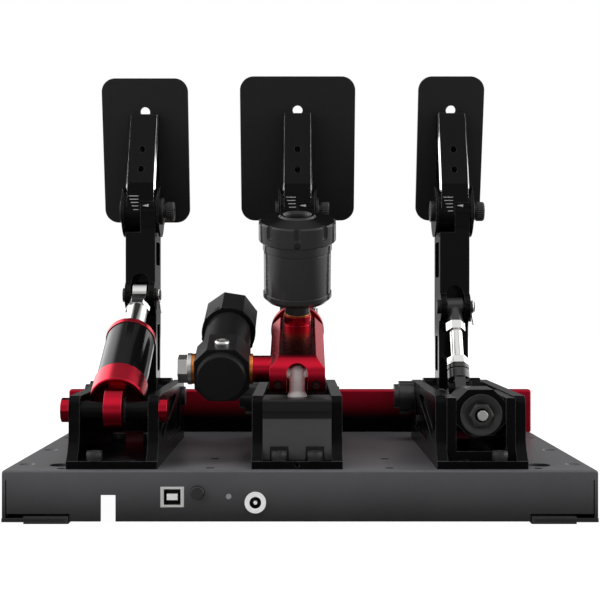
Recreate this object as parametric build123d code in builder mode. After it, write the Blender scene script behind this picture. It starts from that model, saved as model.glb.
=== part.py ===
from build123d import *
import os
from math import atan2, cos, degrees, hypot, radians, sin, tan

# Driving dimensions in millimetres
# X runs to the right seen from the connector side, Y runs towards the driver, Z is up from the floor.

# Fits and cuts
overrun = 2.0
run_fit = 0.05
slide_fit = 0.15
side_gap = 0.3
open_pivot_gap = 0.75

# Base tray, folded from sheet
tray_width = 306.6
tray_depth = 290.0
deck_top = 27.5
tray_sheet = 2.0
side_bend = 1.4
front_bend = 1.2
flange_bottom = 0.95
panel_bottom = 1.3
lip_width = 32.8
seam_width = 0.6
seam_top_drop = 5.0
foot_notch_width = 33.0
foot_notch_top = 5.2

# Rubber feet, pushed on the tray's lips
foot_width = 23.0
foot_length = 32.0
foot_height = 3.9
foot_inner_wall = 1.5

# Connectors in the front panel
cable_notch_x = -98.6
cable_notch_width = 7.8
cable_notch_top = 14.9
usb_x = -65.6
usb_z = 13.9
usb_width = 12.1
usb_height = 10.5
usb_mouth_width = 8.45
usb_mouth_height = 7.8
usb_mouth_depth = 9.0
usb_tongue_width = 5.6
usb_tongue_height = 3.2
usb_corner = 1.4
button_x = -52.6
button_z = 16.0
button_diameter = 6.9
button_reach = 1.6
button_travel = 1.0
button_round = 0.5
button_collar = 9.0
button_collar_thickness = 1.2
led_x = -36.6
led_z = 14.2
led_diameter = 2.8
led_base = 3.6
jack_x = -22.9
jack_z = 11.1
jack_ring = 11.0
jack_ring_reach = 0.8
jack_mouth = 5.8
jack_mouth_depth = 9.0
jack_pin = 2.0
board_margin = 9.0
board_gap = 20.0
board_thickness = 1.6
board_height = 20.0
board_post = 1.5
button_stem = 3.0
led_base_height = 2.0

# Holes in the deck
edge_hole = 5.0
edge_hole_sink = 8.3
sink_angle = 100.0
edge_hole_inset = 7.8
edge_hole_first = 24.0
edge_hole_pitch = 62.0
lead_hole = 12.5
lead_hole_x = 126.5
lead_hole_back = 21.0
spare_hole_x = 123.7
spare_hole_back = 8.0
inner_hole_x = 46.7
inner_hole_back = 10.0
inner_hole_pitch = 36.0

# Heel plate, bent from red sheet
heel_sheet = 3.0
heel_wall_back = 182.0
heel_height = 27.9
heel_crest = 9.0
heel_toe_inset = 3.0
heel_toe_rise = 3.0
heel_bevel = 1.2

# Module base plates and cheeks
module_pitch = 96.0
brake_x = -1.5
clutch_x = brake_x - module_pitch
throttle_x = brake_x + module_pitch
plate_width = 47.2
plate_thickness = 4.1
plate_front = 4.4
plate_back = 150.0
cheek_thickness = 5.7
cheek_top = 64.6
cheek_front = 12.0
cheek_shoulder = 46.0
cheek_corner = 4.5
cheek_pocket_depth = 2.2
cheek_rib = 6.0
cheek_rim = 5.0
pocket_corner = 1.6
front_hole = 2.5
front_hole_z = 29.9
front_hole_depth = 6.0
cheek_pocket_start = 10.0

# Pedal pivots
pivot_back = 135.0
pivot_z = 55.0
pivot_diameter = 8.0
pivot_head = 12.0
pivot_head_thickness = 2.4
sensor_diameter = 19.0
sensor_reach = 12.4
sensor_cover = 3.0
sensor_neck = 15.0
sensor_lug = 6.0
sensor_lug_drop = 1.5

# Module screws
screw_head = 8.0
screw_head_height = 5.0
screw_shank = 5.0
screw_socket = 4.0
screw_socket_depth = 2.6
screw_back = 7.6
screw_side = 9.3
screw_far_back = 92.0
nut_height = 4.0
nut_width = 8.0

# Pedal arms
arm_width = 18.0
hub_radius = 11.5
hinge_back = 131.0
hinge_z = 170.0
knuckle_radius = 14.0
knuckle_gap = 0.6
knuckle_split = 0.05
knuckle_half = 10.3
knuckle_back_angle = 25.0
knuckle_clear_width = 60.0
side_disc_radius = 16.0
side_disc_thickness = 1.2
arm_front_back = 118.0
arm_rear_back = 148.0
arm_low_front_back = 124.0
arm_brow_z = 158.0
arm_left_top = 156.5
arm_chin_drop = 13.0
arm_rim = 4.5
arm_front_rim = 5.5
arm_window_gap = 5.0
arm_window_corner = 2.5
arm_ear_radius = 8.5
slot_width = 10.7
slot_depth = 19.5
slot_low_drop = 14.0
clutch_slot_top = 131.5
brake_slot_top = 120.5
throttle_slot_top = 124.0
clutch_pin_back = 121.0
clutch_pin_z = 118.0
brake_pin_back = 121.0
brake_pin_z = 107.0
throttle_pin_back = 120.0
throttle_pin_z = 110.8
pin_diameter = 6.0
pin_head = 8.5
pin_head_thickness = 1.8
pin_tail = 3.2
pin_groove = 4.6
clip_width = 1.0
clip_length = 9.0

# Pad angle hinge bolt
angle_bolt_diameter = 8.0
angle_head = 11.0
angle_head_height = 8.0
angle_neck = 9.0
angle_neck_end = 2.8
angle_washer = 17.0
angle_washer_thickness = 1.4
angle_nut = 13.0
angle_nut_height = 2.2
angle_socket = 5.0
angle_socket_depth = 3.5

# Pad brackets and pads
pad_thickness = 3.0
pad_length = 91.0
pad_tilt = 14.7
pad_top_back = 132.0
pad_top_z = 254.0
pad_corner = 8.5
clutch_pad_width = 54.0
brake_pad_width = 72.0
throttle_pad_width = 41.0
pad_hole = 6.2
pad_hole_drop = 21.0
bracket_leg = 9.0
bracket_pad_leg = 5.0
bracket_top_drop = 23.4
bracket_foot_drop = 74.0
bracket_brow_z = 186.0
bracket_window_low = 189.5
bracket_window_drop = 16.0
bracket_window_corner = 3.0
bracket_window_fillet = 1.0
bracket_crown = 6.0
leg_bevel = 0.9
leg_bevel_depth = 2.6
access_hole = 3.7
access_run = 54.0
pad_screw = 3.6
pad_screw_drops = (42.7, 54.1)
clutch_head_turn = 3.3

# Clutch damper
damper_eye_back = 17.3
damper_eye_z = 57.0
damper_eye_radius = 11.2
damper_eye_width = 9.4
cross_axle = 9.4
axle_bolt = 6.0
axle_bolt_head = 13.0
axle_bolt_head_height = 4.3
axle_bolt_depth = 6.0
cap_diameter = 29.3
cap_start = 8.0
cap_end = 23.0
cap_lip = 0.6
cap_spigot = 4.0
cap_recess = 24.4
cap_recess_end = 14.0
cap_bar_height = 13.4
tube_diameter = 27.6
tube_wall = 2.2
tube_end = 66.5
ring_diameter = 28.5
ring_height = 4.4
ring_spigot = 3.0
ring_chamfer = 1.0
rod_diameter = 12.3
rod_end = 101.0
piston_height = 5.0
spring_wall = 3.0
clevis_width = 8.4
clevis_height = 10.1
clevis_radius = 8.0
lock_nut_width = 12.4
lock_nut_height = 5.0
axle_washer = 14.0
axle_washer_thickness = 1.0
piston_gap = 0.3

# Brake front block and master cylinder
block_back = 42.0
block_front = 8.0
block_top = 63.2
block_lip = 6.2
block_lip_reach = 1.6
block_notch = 9.6
block_notch_depth = 7.0
block_chamfer = 1.0
eye_back = 27.0
eye_z = 76.0
post_diameter = 8.7
post_foot = 10.4
post_foot_height = 3.0
post_pin = 5.0
post_round = 4.0
post_tip = 0.6
post_rim_height = 1.0
post_pin_half = 11.0
master_left = 14.6
master_right = 14.8
master_height = 21.5
master_end = 60.0
master_chamfer = 4.8
set_screw = 4.3
set_screw_side = 10.1
set_screw_z = 70.4
set_screw_floor = 6.2
master_groove = 1.0
master_bore = 16.0
master_bore_start = 22.0
master_notch = 11.2
master_notch_run = 18.0
master_flange = 31.0
master_flange_length = 3.6
master_collar = 20.0
master_collar_length = 6.0
piston_clearance = 0.3
push_rod_diameter = 7.5
push_rod_eye_width = 8.4
push_rod_piston_length = 9.0
push_rod_piston_back = 20.0
push_nut_width = 13.0
push_nut_height = 5.5
push_nut_gap = 5.0

# Fluid reservoir
reservoir_station = 50.7
reservoir_boss = 15.6
reservoir_boss_top = 16.0
reservoir_washer = 14.8
reservoir_washer_thickness = 1.0
reservoir_collar = 14.0
reservoir_bottom = 24.7
reservoir_diameter = 38.7
reservoir_wall = 2.4
reservoir_shoulder = 59.5
reservoir_top = 73.5
reservoir_chamfer = 2.5
reservoir_neck_wall = 2.0
reservoir_neck_top = 66.0
cap_overhang = 2.25
cap_side_top = 70.5
cap_side_bevel = 0.8
cap_boss = 19.0
cap_boss_height = 1.0
cap_dish = 14.0
cap_dish_depth = 1.5
cap_flutes = 8
cap_flute_start = 90.0
reservoir_band = 1.0
reservoir_band_height = 5.0
reservoir_groove = 1.2
reservoir_groove_drop = 6.0
cap_flute_radius = 2.2
cap_flute_depth = 1.4
cap_flute_foot = 65.2
cap_dimple = 3.6
cap_dimple_height = 61.9
cap_dimple_depth = 1.4
cap_edge = 0.8

# Pressure cylinder beside the master cylinder
pressure_nose = 9.0
pressure_nose_disc = 26.5
pressure_nose_bevel = 1.0
pressure_body_start = 4.0
pressure_body = 29.3
pressure_body_chamfer = 7.0
pressure_shoulder = 20.0
pressure_neck = 26.6
pressure_neck_end = 62.0
pressure_bore = 20.0
pressure_cap_turn = 32.0
pressure_cap_width = 30.2
pressure_cap_end = 93.0
pressure_cap_wall = 4.0
pressure_cap_rim = 31.4
pressure_cap_rim_length = 5.0
pressure_cap_bevel = 1.6
elastomer_diameter = 22.0
elastomer_discs = 4
elastomer_plate = 1.2
banjo_station = 6.0
banjo_hole = 8.0
banjo_depth = 7.0
banjo_head = 13.4
banjo_head_height = 5.2
banjo_flange = 17.0
banjo_flange_height = 2.2
banjo_washer = 16.4
banjo_washer_thickness = 1.8
banjo_neck = 14.4
banjo_neck_height = 9.2
bleed_diameter = 7.8
bleed_height = 2.2
bleed_round = 1.2
bleed_station = 5.0
bleed_hex = 3.0
bleed_hex_depth = 1.2

# Throttle spring frame, spring and preload knob
frame_wall = 4.9
frame_floor = 4.5
frame_front = 10.0
frame_length = 58.0
frame_top = 64.0
spring_z = 55.1
barrel_front = 12.0
barrel_length = 50.0
barrel_wall = 4.0
barrel_height = 24.0
barrel_z = 56.2
barrel_chamfer = 6.3
barrel_block = 25.0
barrel_tube_step = 1.5
knob_thickness = 7.0
knob_disc_step = 2.1
knob_disc_thickness = 2.6
knob_rim = 0.6
knob_dish_depth = 1.8
knob_nut_width = 11.2
knob_nut_height = 4.6
knob_nut_bevel = 1.0
knob_bore = 7.2
spring_rod_diameter = 5.4
spring_rod_reach = 3.0
prong_thickness = 2.6
prong_height = 8.0
prong_gap = 0.3
prong_slot = 4.4
prong_slot_length = 7.0
prong_rim = 2.2
push_pin = 4.0
nose_pin = 5.0
seat_thickness = 4.0
seat_clearance = 0.4
seat_reach = 7.5
throttle_spring_wall = 2.6

# Throttle crank and link
crank_back = 115.0
crank_z = 42.0
crank_pin = 6.0
crank_plate = 3.4
crank_gap = 6.8
crank_radius = 4.6
crank_hub_radius = 6.6
crank_push_radius = 4.2
crank_nose_back = 96.0
crank_nose_z = 62.0
link_tongue = 6.2
link_socket = 13.0
link_socket_length = 10.0
link_groove_back = 3.2
link_socket_groove = 0.7
link_nut_width = 10.0
link_nut_height = 5.4
link_low_nut_start = 34.3
link_low_nut_width = 11.0
link_low_nut_height = 4.5
link_low_nut_chamfer = 0.8
link_rod = 7.5
link_fork_length = 11.0
link_fork_width = 9.6
link_fork_diameter = 10.0
link_end_radius = 5.6

# Places worked out from the sizes above
half_width = tray_width / 2
front_y = -tray_depth / 2
plate_top = deck_top + plate_thickness
inner_gap = plate_width - cheek_thickness - cheek_thickness
pivot_y = front_y + pivot_back
hinge_y = front_y + hinge_back
deck_bottom = deck_top - tray_sheet
modules = (("clutch", clutch_x), ("brake", brake_x), ("throttle", throttle_x))

os.makedirs("parts", exist_ok=True)


def keep(solid, label):
    """Names a finished piece and writes it to its own file."""
    solid.label = label
    export_step(solid, "parts/" + label + ".step")


def side_plane(x, y, z, rise=0):
    """Side view: local x runs towards the driver along an axis that rises by an angle, local y runs up."""
    along = (0, cos(radians(rise)), sin(radians(rise)))
    return Plane(origin=(x, y, z), x_dir=along, z_dir=(1, 0, 0))


def end_plane(side, station):
    """Section across a side plane's axis at a station, with local y up and local x to the left."""
    return Plane(origin=side.from_local_coords((station, 0, 0)), x_dir=-side.z_dir, z_dir=side.x_dir)


def top_plane(side, station, height):
    """Plane seen from above a side plane's axis, with its normal up and square to the axis."""
    return Plane(origin=side.from_local_coords((station, height, 0)), x_dir=side.z_dir, z_dir=side.y_dir)


def turned(side, *profile):
    """Body turned about a side plane's local x, from a half profile of stations and radii."""
    with BuildPart() as body:
        with BuildSketch(side):
            with BuildLine():
                Polyline(*profile, close=True)
            make_face()
        revolve(axis=Axis(side.origin, side.x_dir))
    return body.part


# Base tray
with BuildPart() as base_tray:
    with BuildSketch(Plane.XY.offset(flange_bottom)):
        Rectangle(tray_width, tray_depth)
    extrude(amount=deck_top - flange_bottom)
    fillet(base_tray.edges().filter_by(Axis.Y).group_by(Axis.Z)[-1], radius=side_bend)
    fillet(base_tray.edges().filter_by(Axis.X).group_by(Axis.Z)[-1], radius=front_bend)
    with BuildSketch(Plane.XY.offset(flange_bottom)):
        Rectangle(tray_width - tray_sheet * 2, tray_depth - tray_sheet * 2)
    extrude(amount=deck_bottom - flange_bottom, mode=Mode.SUBTRACT)
    # Panels end above the side flanges, with the corner seams and foot notches
    with BuildSketch(Plane.XZ) as panel_cuts:
        with Locations((0, (flange_bottom + panel_bottom) / 2)):
            Rectangle(tray_width - tray_sheet * 2, panel_bottom - flange_bottom)
        notch_height = foot_notch_top - flange_bottom
        seam_height = deck_top - seam_top_drop - flange_bottom
        for side in (-1, 1):
            inner_x = side * (half_width - tray_sheet)
            with Locations((inner_x - side * foot_notch_width / 2, flange_bottom + notch_height / 2)):
                Rectangle(foot_notch_width, notch_height)
            with Locations((inner_x - side * seam_width / 2, flange_bottom + seam_height / 2)):
                Rectangle(seam_width, seam_height)
    extrude(amount=tray_depth, both=True, mode=Mode.SUBTRACT)
    # Bottom lips, folded in from the side flanges
    for side in (-1, 1):
        with BuildSketch(Plane.XY.offset(flange_bottom)):
            with Locations((side * (half_width - lip_width / 2), 0)):
                Rectangle(lip_width, tray_depth)
        extrude(amount=tray_sheet)
    # Connector openings
    with BuildSketch(Plane.XZ.offset(-front_y)) as connector_cuts:
        notch_rise = cable_notch_top - flange_bottom
        with Locations((cable_notch_x, flange_bottom + notch_rise / 2)):
            Rectangle(cable_notch_width, notch_rise)
        with Locations((usb_x, usb_z)):
            Rectangle(usb_width, usb_height)
        with Locations((button_x, button_z)):
            Circle(button_diameter / 2 + slide_fit)
        with Locations((led_x, led_z)):
            Circle(led_diameter / 2 + run_fit)
        with Locations((jack_x, jack_z)):
            Circle(jack_ring / 2)
    extrude(amount=-tray_sheet, mode=Mode.SUBTRACT)
    # Fixing holes along the sides, countersunk from above
    for side in (-1, 1):
        for step in range(3):
            edge_y = front_y + edge_hole_first + step * edge_hole_pitch
            with Locations((side * (half_width - edge_hole_inset), edge_y, deck_top)):
                CounterSinkHole(
                    radius=edge_hole / 2,
                    counter_sink_radius=edge_hole_sink / 2,
                    depth=tray_sheet,
                    counter_sink_angle=sink_angle,
                )
    # Lead, spare and module screw holes
    with BuildSketch(Plane.XY.offset(deck_top)):
        for side in (-1, 1):
            with Locations((side * lead_hole_x, front_y + lead_hole_back)):
                Circle(lead_hole / 2)
            with Locations((side * spare_hole_x, front_y + spare_hole_back)):
                Circle(edge_hole / 2)
            with Locations((side * inner_hole_x, front_y + inner_hole_back)):
                Circle(edge_hole / 2)
            with Locations((side * inner_hole_x, front_y + inner_hole_back + inner_hole_pitch)):
                Circle(edge_hole / 2)
        for _, x in modules:
            for side in (-1, 1):
                with Locations((x + side * screw_side, front_y + screw_back)):
                    Circle(screw_shank / 2 + run_fit)
                with Locations((x + side * screw_side, front_y + screw_far_back)):
                    Circle(screw_shank / 2 + run_fit)
    extrude(amount=-tray_sheet, mode=Mode.SUBTRACT)
keep(base_tray.part, "base_tray")

# Rubber feet
with BuildPart() as rubber_feet:
    lip_edge = half_width - lip_width
    for side in (-1, 1):
        for end in (-1, 1):
            foot_x = side * (lip_edge - foot_inner_wall + foot_width / 2)
            foot_y = end * (tray_depth / 2 - foot_length / 2)
            with BuildSketch(Plane.XY):
                with Locations((foot_x, foot_y)):
                    Rectangle(foot_width, foot_length)
            extrude(amount=foot_height)
            with BuildSketch(Plane.XY.offset(flange_bottom)):
                with Locations((side * (lip_edge + lip_width / 2), foot_y)):
                    Rectangle(lip_width, foot_length)
            extrude(amount=tray_sheet, mode=Mode.SUBTRACT)
keep(rubber_feet.part, "rubber_feet")

# Heel plate
heel_y = front_y + heel_wall_back
heel_top = deck_top + heel_height
heel_toe_y = -front_y - heel_toe_inset
with BuildPart() as heel_plate:
    with BuildSketch(Plane.YZ.offset(-half_width)):
        with BuildLine():
            bent = Polyline(
                (heel_y + heel_sheet / 2, deck_top),
                (heel_y + heel_sheet / 2, heel_top - heel_sheet / 2),
                (heel_y + heel_crest, heel_top - heel_sheet / 2),
                (heel_toe_y - heel_toe_rise, deck_top + heel_toe_rise),
                (heel_toe_y - heel_sheet / 2, deck_top + heel_sheet / 2),
                (heel_toe_y - heel_sheet / 2, deck_top),
            )
            offset(bent, amount=heel_sheet / 2, side=Side.BOTH)
        make_face()
    extrude(amount=tray_width)
    below = Plane.XY.offset(deck_top)
    split(bisect_by=below, keep=Keep.TOP)
    chamfer(heel_plate.faces().filter_by(Axis.X).edges().filter_by(GeomType.LINE), length=heel_bevel / 2)
keep(heel_plate.part, "heel_plate")

# Control board behind the front panel, hung under the deck on two posts
board_y = front_y + board_gap
board_z = deck_bottom - board_height / 2 - board_post
with BuildPart() as control_board:
    board_left = usb_x - board_margin
    board_right = jack_x + board_margin
    board_middle = (board_left + board_right) / 2
    with BuildSketch(Plane.XZ.offset(-board_y)):
        with Locations((board_middle, board_z)):
            Rectangle(board_right - board_left, board_height)
    extrude(amount=board_thickness / 2, both=True)
    with BuildSketch(Plane.XY.offset(deck_bottom)):
        with Locations((board_left + board_margin / 2, board_y), (board_right - board_margin / 2, board_y)):
            Circle(board_thickness)
    extrude(amount=-board_post)
keep(control_board.part, "control_board")

# USB socket, with its tongue in the mouth
with BuildPart() as usb_socket:
    with BuildSketch(Plane.XZ.offset(-front_y)):
        with Locations((usb_x, usb_z)):
            Rectangle(usb_width, usb_height)
    extrude(amount=-(board_gap - board_thickness / 2))
    with BuildSketch(Plane.XZ.offset(-front_y)):
        with Locations((usb_x, usb_z)):
            usb_mouth = Rectangle(usb_mouth_width, usb_mouth_height)
            chamfer(usb_mouth.vertices().group_by(Axis.Y)[-1], length=usb_corner)
            Rectangle(usb_tongue_width, usb_tongue_height, mode=Mode.SUBTRACT)
    extrude(amount=-usb_mouth_depth, mode=Mode.SUBTRACT)
keep(usb_socket.part, "usb_socket")

# Reset button, which slides in the panel
with BuildPart() as reset_button:
    with BuildSketch(Plane.XZ.offset(-front_y + button_reach)):
        with Locations((button_x, button_z)):
            Circle(button_diameter / 2)
    extrude(amount=-(button_reach + tray_sheet + button_collar_thickness))
    fillet(reset_button.edges().group_by(Axis.Y)[0], radius=button_round)
    with BuildSketch(Plane.XZ.offset(-front_y - tray_sheet - run_fit)):
        with Locations((button_x, button_z)):
            Circle(button_collar / 2)
    extrude(amount=-button_collar_thickness)
    with BuildSketch(Plane.XZ.offset(-front_y - tray_sheet)):
        with Locations((button_x, button_z)):
            Circle(button_stem / 2)
    extrude(amount=-(board_gap - tray_sheet - board_thickness / 2 - button_travel - side_gap))
keep(reset_button.part, "reset_button")

# Status light
with BuildPart() as status_led:
    with BuildSketch(Plane.XZ.offset(-front_y)):
        with Locations((led_x, led_z)):
            Circle(led_diameter / 2)
    extrude(amount=-(board_gap - board_thickness / 2))
    with BuildSketch(Plane.XZ.offset(-board_y + board_thickness / 2)):
        with Locations((led_x, led_z)):
            Circle(led_base / 2)
    extrude(amount=led_base_height)
keep(status_led.part, "status_led")

# Power jack, with its pin in the mouth
with BuildPart() as power_jack:
    with BuildSketch(Plane.XZ.offset(-front_y + jack_ring_reach)):
        with Locations((jack_x, jack_z)):
            Circle(jack_ring / 2)
    extrude(amount=-(board_gap + jack_ring_reach - board_thickness / 2))
    with BuildSketch(Plane.XZ.offset(-front_y + jack_ring_reach)):
        with Locations((jack_x, jack_z)):
            Circle(jack_mouth / 2)
            Circle(jack_pin / 2, mode=Mode.SUBTRACT)
    extrude(amount=-jack_mouth_depth, mode=Mode.SUBTRACT)
keep(power_jack.part, "power_jack")


def base_plate(x, with_front_hole):
    """Bottom plate of a module, with its screw holes and, in one of them, a small hole in the front edge."""
    with BuildPart() as plate:
        with BuildSketch(Plane.XY.offset(deck_top)):
            with Locations((x, front_y + (plate_front + plate_back) / 2)):
                Rectangle(plate_width, plate_back - plate_front)
            for side in (-1, 1):
                for back in (screw_back, screw_far_back):
                    with Locations((x + side * screw_side, front_y + back)):
                        Circle(screw_shank / 2 + run_fit, mode=Mode.SUBTRACT)
        extrude(amount=plate_thickness)
        if with_front_hole:
            with BuildSketch(Plane.XZ.offset(-front_y - plate_front)):
                with Locations((x, front_hole_z)):
                    Circle(front_hole / 2)
            extrude(amount=-front_hole_depth, mode=Mode.SUBTRACT)
    return plate.part


def cheek(x, side, cross_hole_place, cross_hole):
    """Side plate of a module, with a diagonal rib between two pockets in its outer face."""
    inner_x = x + side * inner_gap / 2
    outer_x = x + side * plate_width / 2
    foot_y = front_y + plate_front
    face_y = front_y + cheek_front
    back_y = front_y + plate_back
    low = plate_top + cheek_rim
    high = cheek_top - cheek_rim
    near = face_y + cheek_rim + cheek_pocket_start
    far = pivot_y - hub_radius
    rib_rise = cheek_rib / 2 * hypot(high - low, far - near) / (far - near)
    rib_run = cheek_rib / 2 * hypot(high - low, far - near) / (high - low)
    with BuildPart() as plate:
        with BuildSketch(Plane.YZ.offset(min(inner_x, outer_x))):
            with BuildLine():
                base = Line((foot_y, plate_top), (back_y, plate_top))
                rear = Line(base @ 1, (back_y, cheek_top))
                top = Line(rear @ 1, (face_y, cheek_top))
                face = Line(top @ 1, (face_y, cheek_shoulder))
                TangentArc(face @ 1, base @ 0, tangent=(0, -1))
            make_face()
        extrude(amount=cheek_thickness)
        fillet(plate.edges().filter_by(Axis.X).group_by(Axis.Z)[-1], radius=cheek_corner)
        with BuildSketch(Plane.YZ.offset(outer_x)) as lower_pocket:
            with BuildLine():
                Polyline((near + rib_run, low), (far, low), (far, high - rib_rise), close=True)
            make_face()
            fillet(lower_pocket.vertices(), radius=pocket_corner)
        extrude(amount=-side * cheek_pocket_depth, mode=Mode.SUBTRACT)
        with BuildSketch(Plane.YZ.offset(outer_x)) as upper_pocket:
            with BuildLine():
                Polyline((near, low + rib_rise), (near, high), (far - rib_run, high), close=True)
            make_face()
            fillet(upper_pocket.vertices(), radius=pocket_corner)
        extrude(amount=-side * cheek_pocket_depth, mode=Mode.SUBTRACT)
        # Holes for the pedal axle and for what crosses the module at its front
        with BuildSketch(Plane.YZ.offset(x)):
            with Locations((pivot_y, pivot_z)):
                Circle(pivot_diameter / 2)
            if cross_hole:
                with Locations(cross_hole_place):
                    Circle(cross_hole / 2)
        extrude(amount=plate_width, both=True, mode=Mode.SUBTRACT)
    return plate.part


# Module plates and cheeks
damper_y = front_y + damper_eye_back
crank_y = front_y + crank_back
cross_holes = {
    "clutch": ((damper_y, damper_eye_z), axle_bolt),
    "brake": ((damper_y, damper_eye_z), 0),
    "throttle": ((crank_y, crank_z), crank_pin),
}
for name, x in modules:
    place, hole = cross_holes[name]
    keep(base_plate(x, name == "brake"), name + "_base_plate")
    keep(cheek(x, -1, place, hole), name + "_left_cheek")
    keep(cheek(x, 1, place, hole), name + "_right_cheek")

# Pivot axles, one for each pedal, headed on the right, and the pin of the throttle crank
with BuildPart() as pivot_axles:
    for name, x in modules:
        right_face = x + plate_width / 2
        with BuildSketch(Plane.YZ.offset(x - plate_width / 2)):
            with Locations((pivot_y, pivot_z)):
                Circle(pivot_diameter / 2)
        extrude(amount=plate_width)
        with BuildSketch(Plane.YZ.offset(right_face)):
            with Locations((pivot_y, pivot_z)):
                Circle(pivot_head / 2)
        extrude(amount=pivot_head_thickness)
    with BuildSketch(Plane.YZ.offset(throttle_x - plate_width / 2)):
        with Locations((crank_y, crank_z)):
            Circle(crank_pin / 2)
    extrude(amount=plate_width)
keep(pivot_axles.part, "pivot_axles")

# Angle sensors on the left ends of the pivot axles
with BuildPart() as angle_sensors:
    for name, x in modules:
        left_face = x - plate_width / 2
        with BuildSketch(Plane.YZ.offset(left_face)):
            with Locations((pivot_y, pivot_z)):
                Circle(sensor_diameter / 2)
        extrude(amount=-(sensor_reach - sensor_cover))
        with BuildSketch(Plane.YZ.offset(left_face - sensor_reach + sensor_cover)):
            with Locations((pivot_y, pivot_z)):
                Circle(sensor_neck / 2)
        extrude(amount=-sensor_cover)
        # Lead outlet at the foot of the housing
        with BuildSketch(Plane.XY.offset(pivot_z)):
            with Locations((left_face - sensor_lug, pivot_y)):
                Rectangle(sensor_lug, sensor_lug)
        extrude(amount=-(sensor_diameter / 2 + sensor_lug_drop))
keep(angle_sensors.part, "angle_sensors")

# Screws that hold the modules to the deck: front screws that the photo shows, and two behind each damper
with BuildPart() as module_screws:
    front_screws = (
        (clutch_x, -1),
        (brake_x, -1),
        (brake_x, 1),
        (throttle_x, 1),
    )
    rear_screws = [(x, side) for name, x in modules for side in (-1, 1)]
    screw_places = [(x + side * screw_side, front_y + screw_back) for x, side in front_screws]
    screw_places += [(x + side * screw_side, front_y + screw_far_back) for x, side in rear_screws]
    with BuildSketch(Plane.XY.offset(plate_top)):
        with Locations(*screw_places):
            Circle(screw_head / 2)
    extrude(amount=screw_head_height)
    with BuildSketch(Plane.XY.offset(plate_top)):
        with Locations(*screw_places):
            Circle(screw_shank / 2)
    extrude(amount=-(plate_top - deck_bottom + nut_height))
    with BuildSketch(Plane.XY.offset(deck_bottom)):
        with Locations(*screw_places):
            RegularPolygon(nut_width / 2, 6, major_radius=False)
    extrude(amount=-nut_height)
    with BuildSketch(Plane.XY.offset(plate_top + screw_head_height)):
        with Locations(*screw_places):
            RegularPolygon(screw_socket / 2, 6, major_radius=False)
    extrude(amount=-screw_socket_depth, mode=Mode.SUBTRACT)
keep(module_screws.part, "module_screws")



def pedal_arm(x, pin_back, pin_z, slot_top):
    """Pedal arm: a wide hub, a front bar with fork ears, a rear rim, two windows and half of the hinge."""
    pin_y = front_y + pin_back
    front = front_y + arm_front_back
    low_front = front_y + arm_low_front_back
    rear = front_y + arm_rear_back
    chin_z = pin_z - arm_chin_drop
    shoulder_y = hinge_y + knuckle_radius * cos(radians(knuckle_back_angle))
    shoulder_z = hinge_z - knuckle_radius * sin(radians(knuckle_back_angle))
    low_window = (pivot_z + hub_radius + arm_rim, chin_z - arm_window_gap)
    high_window = (slot_top + arm_window_gap, hinge_z - knuckle_radius - arm_window_gap)
    windows = ((low_front, low_window), (front, high_window))
    with BuildPart() as arm:
        with BuildSketch(Plane.YZ.offset(x - arm_width / 2)):
            with BuildLine():
                Polyline(
                    (pivot_y - hub_radius, pivot_z),
                    (pivot_y + hub_radius, pivot_z),
                    (rear, chin_z),
                    (rear, arm_brow_z),
                    (shoulder_y, shoulder_z),
                    (hinge_y, hinge_z),
                    (hinge_y - knuckle_radius, hinge_z),
                    (front, arm_brow_z),
                    (front, pin_z),
                    (low_front, chin_z),
                    close=True,
                )
            make_face()
            with Locations((pivot_y, pivot_z)):
                Circle(hub_radius)
            with Locations((pin_y, pin_z)):
                Circle(arm_ear_radius)
        extrude(amount=arm_width)
        # Hub that fills the gap between the cheeks
        with BuildSketch(Plane.YZ.offset(x)):
            with Locations((pivot_y, pivot_z)):
                Circle(hub_radius)
        extrude(amount=inner_gap / 2 - side_gap, both=True)
        # Windows right through the sides, below and above the fork
        for face_y, (low, high) in windows:
            window_front = face_y + arm_front_rim
            window_back = rear - arm_rim
            with BuildSketch(Plane.YZ.offset(x)):
                with Locations(((window_front + window_back) / 2, (low + high) / 2)):
                    RectangleRounded(window_back - window_front, high - low, arm_window_corner)
            extrude(amount=arm_width, both=True, mode=Mode.SUBTRACT)
        # Left half of the top is cut away for the pad bracket
        with BuildSketch(Plane.YZ.offset(x + knuckle_split)):
            with Locations((hinge_y, hinge_z)):
                Circle(knuckle_radius + knuckle_gap)
            with Locations((hinge_y, arm_left_top + knuckle_radius)):
                Rectangle(knuckle_clear_width, knuckle_radius + knuckle_radius)
        extrude(amount=-arm_width, mode=Mode.SUBTRACT)
        # Right half of the hinge, with its side disc
        with BuildSketch(Plane.YZ.offset(x + knuckle_split)):
            with Locations((hinge_y, hinge_z)):
                Circle(knuckle_radius)
        extrude(amount=knuckle_half - knuckle_split)
        with BuildSketch(Plane.YZ.offset(x + knuckle_half)):
            with Locations((hinge_y, hinge_z)):
                Circle(side_disc_radius)
        extrude(amount=side_disc_thickness)
        # Arched fork slot for the clevis, open to the front
        slot_low = pin_z - slot_low_drop
        arch_z = slot_top - slot_width / 2
        with BuildSketch(Plane.XZ.offset(arm_ear_radius - pin_y)):
            with Locations((x, (arch_z + slot_low) / 2)):
                Rectangle(slot_width, arch_z - slot_low)
            with Locations((x, arch_z)):
                Circle(slot_width / 2)
        extrude(amount=-slot_depth, mode=Mode.SUBTRACT)
        # Bores
        with BuildSketch(Plane.YZ.offset(x)):
            with Locations((pivot_y, pivot_z)):
                Circle(pivot_diameter / 2 + run_fit)
            with Locations((pin_y, pin_z)):
                Circle(pin_diameter / 2)
            with Locations((hinge_y, hinge_z)):
                Circle(angle_bolt_diameter / 2)
        extrude(amount=plate_width, both=True, mode=Mode.SUBTRACT)
    return arm.part


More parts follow.
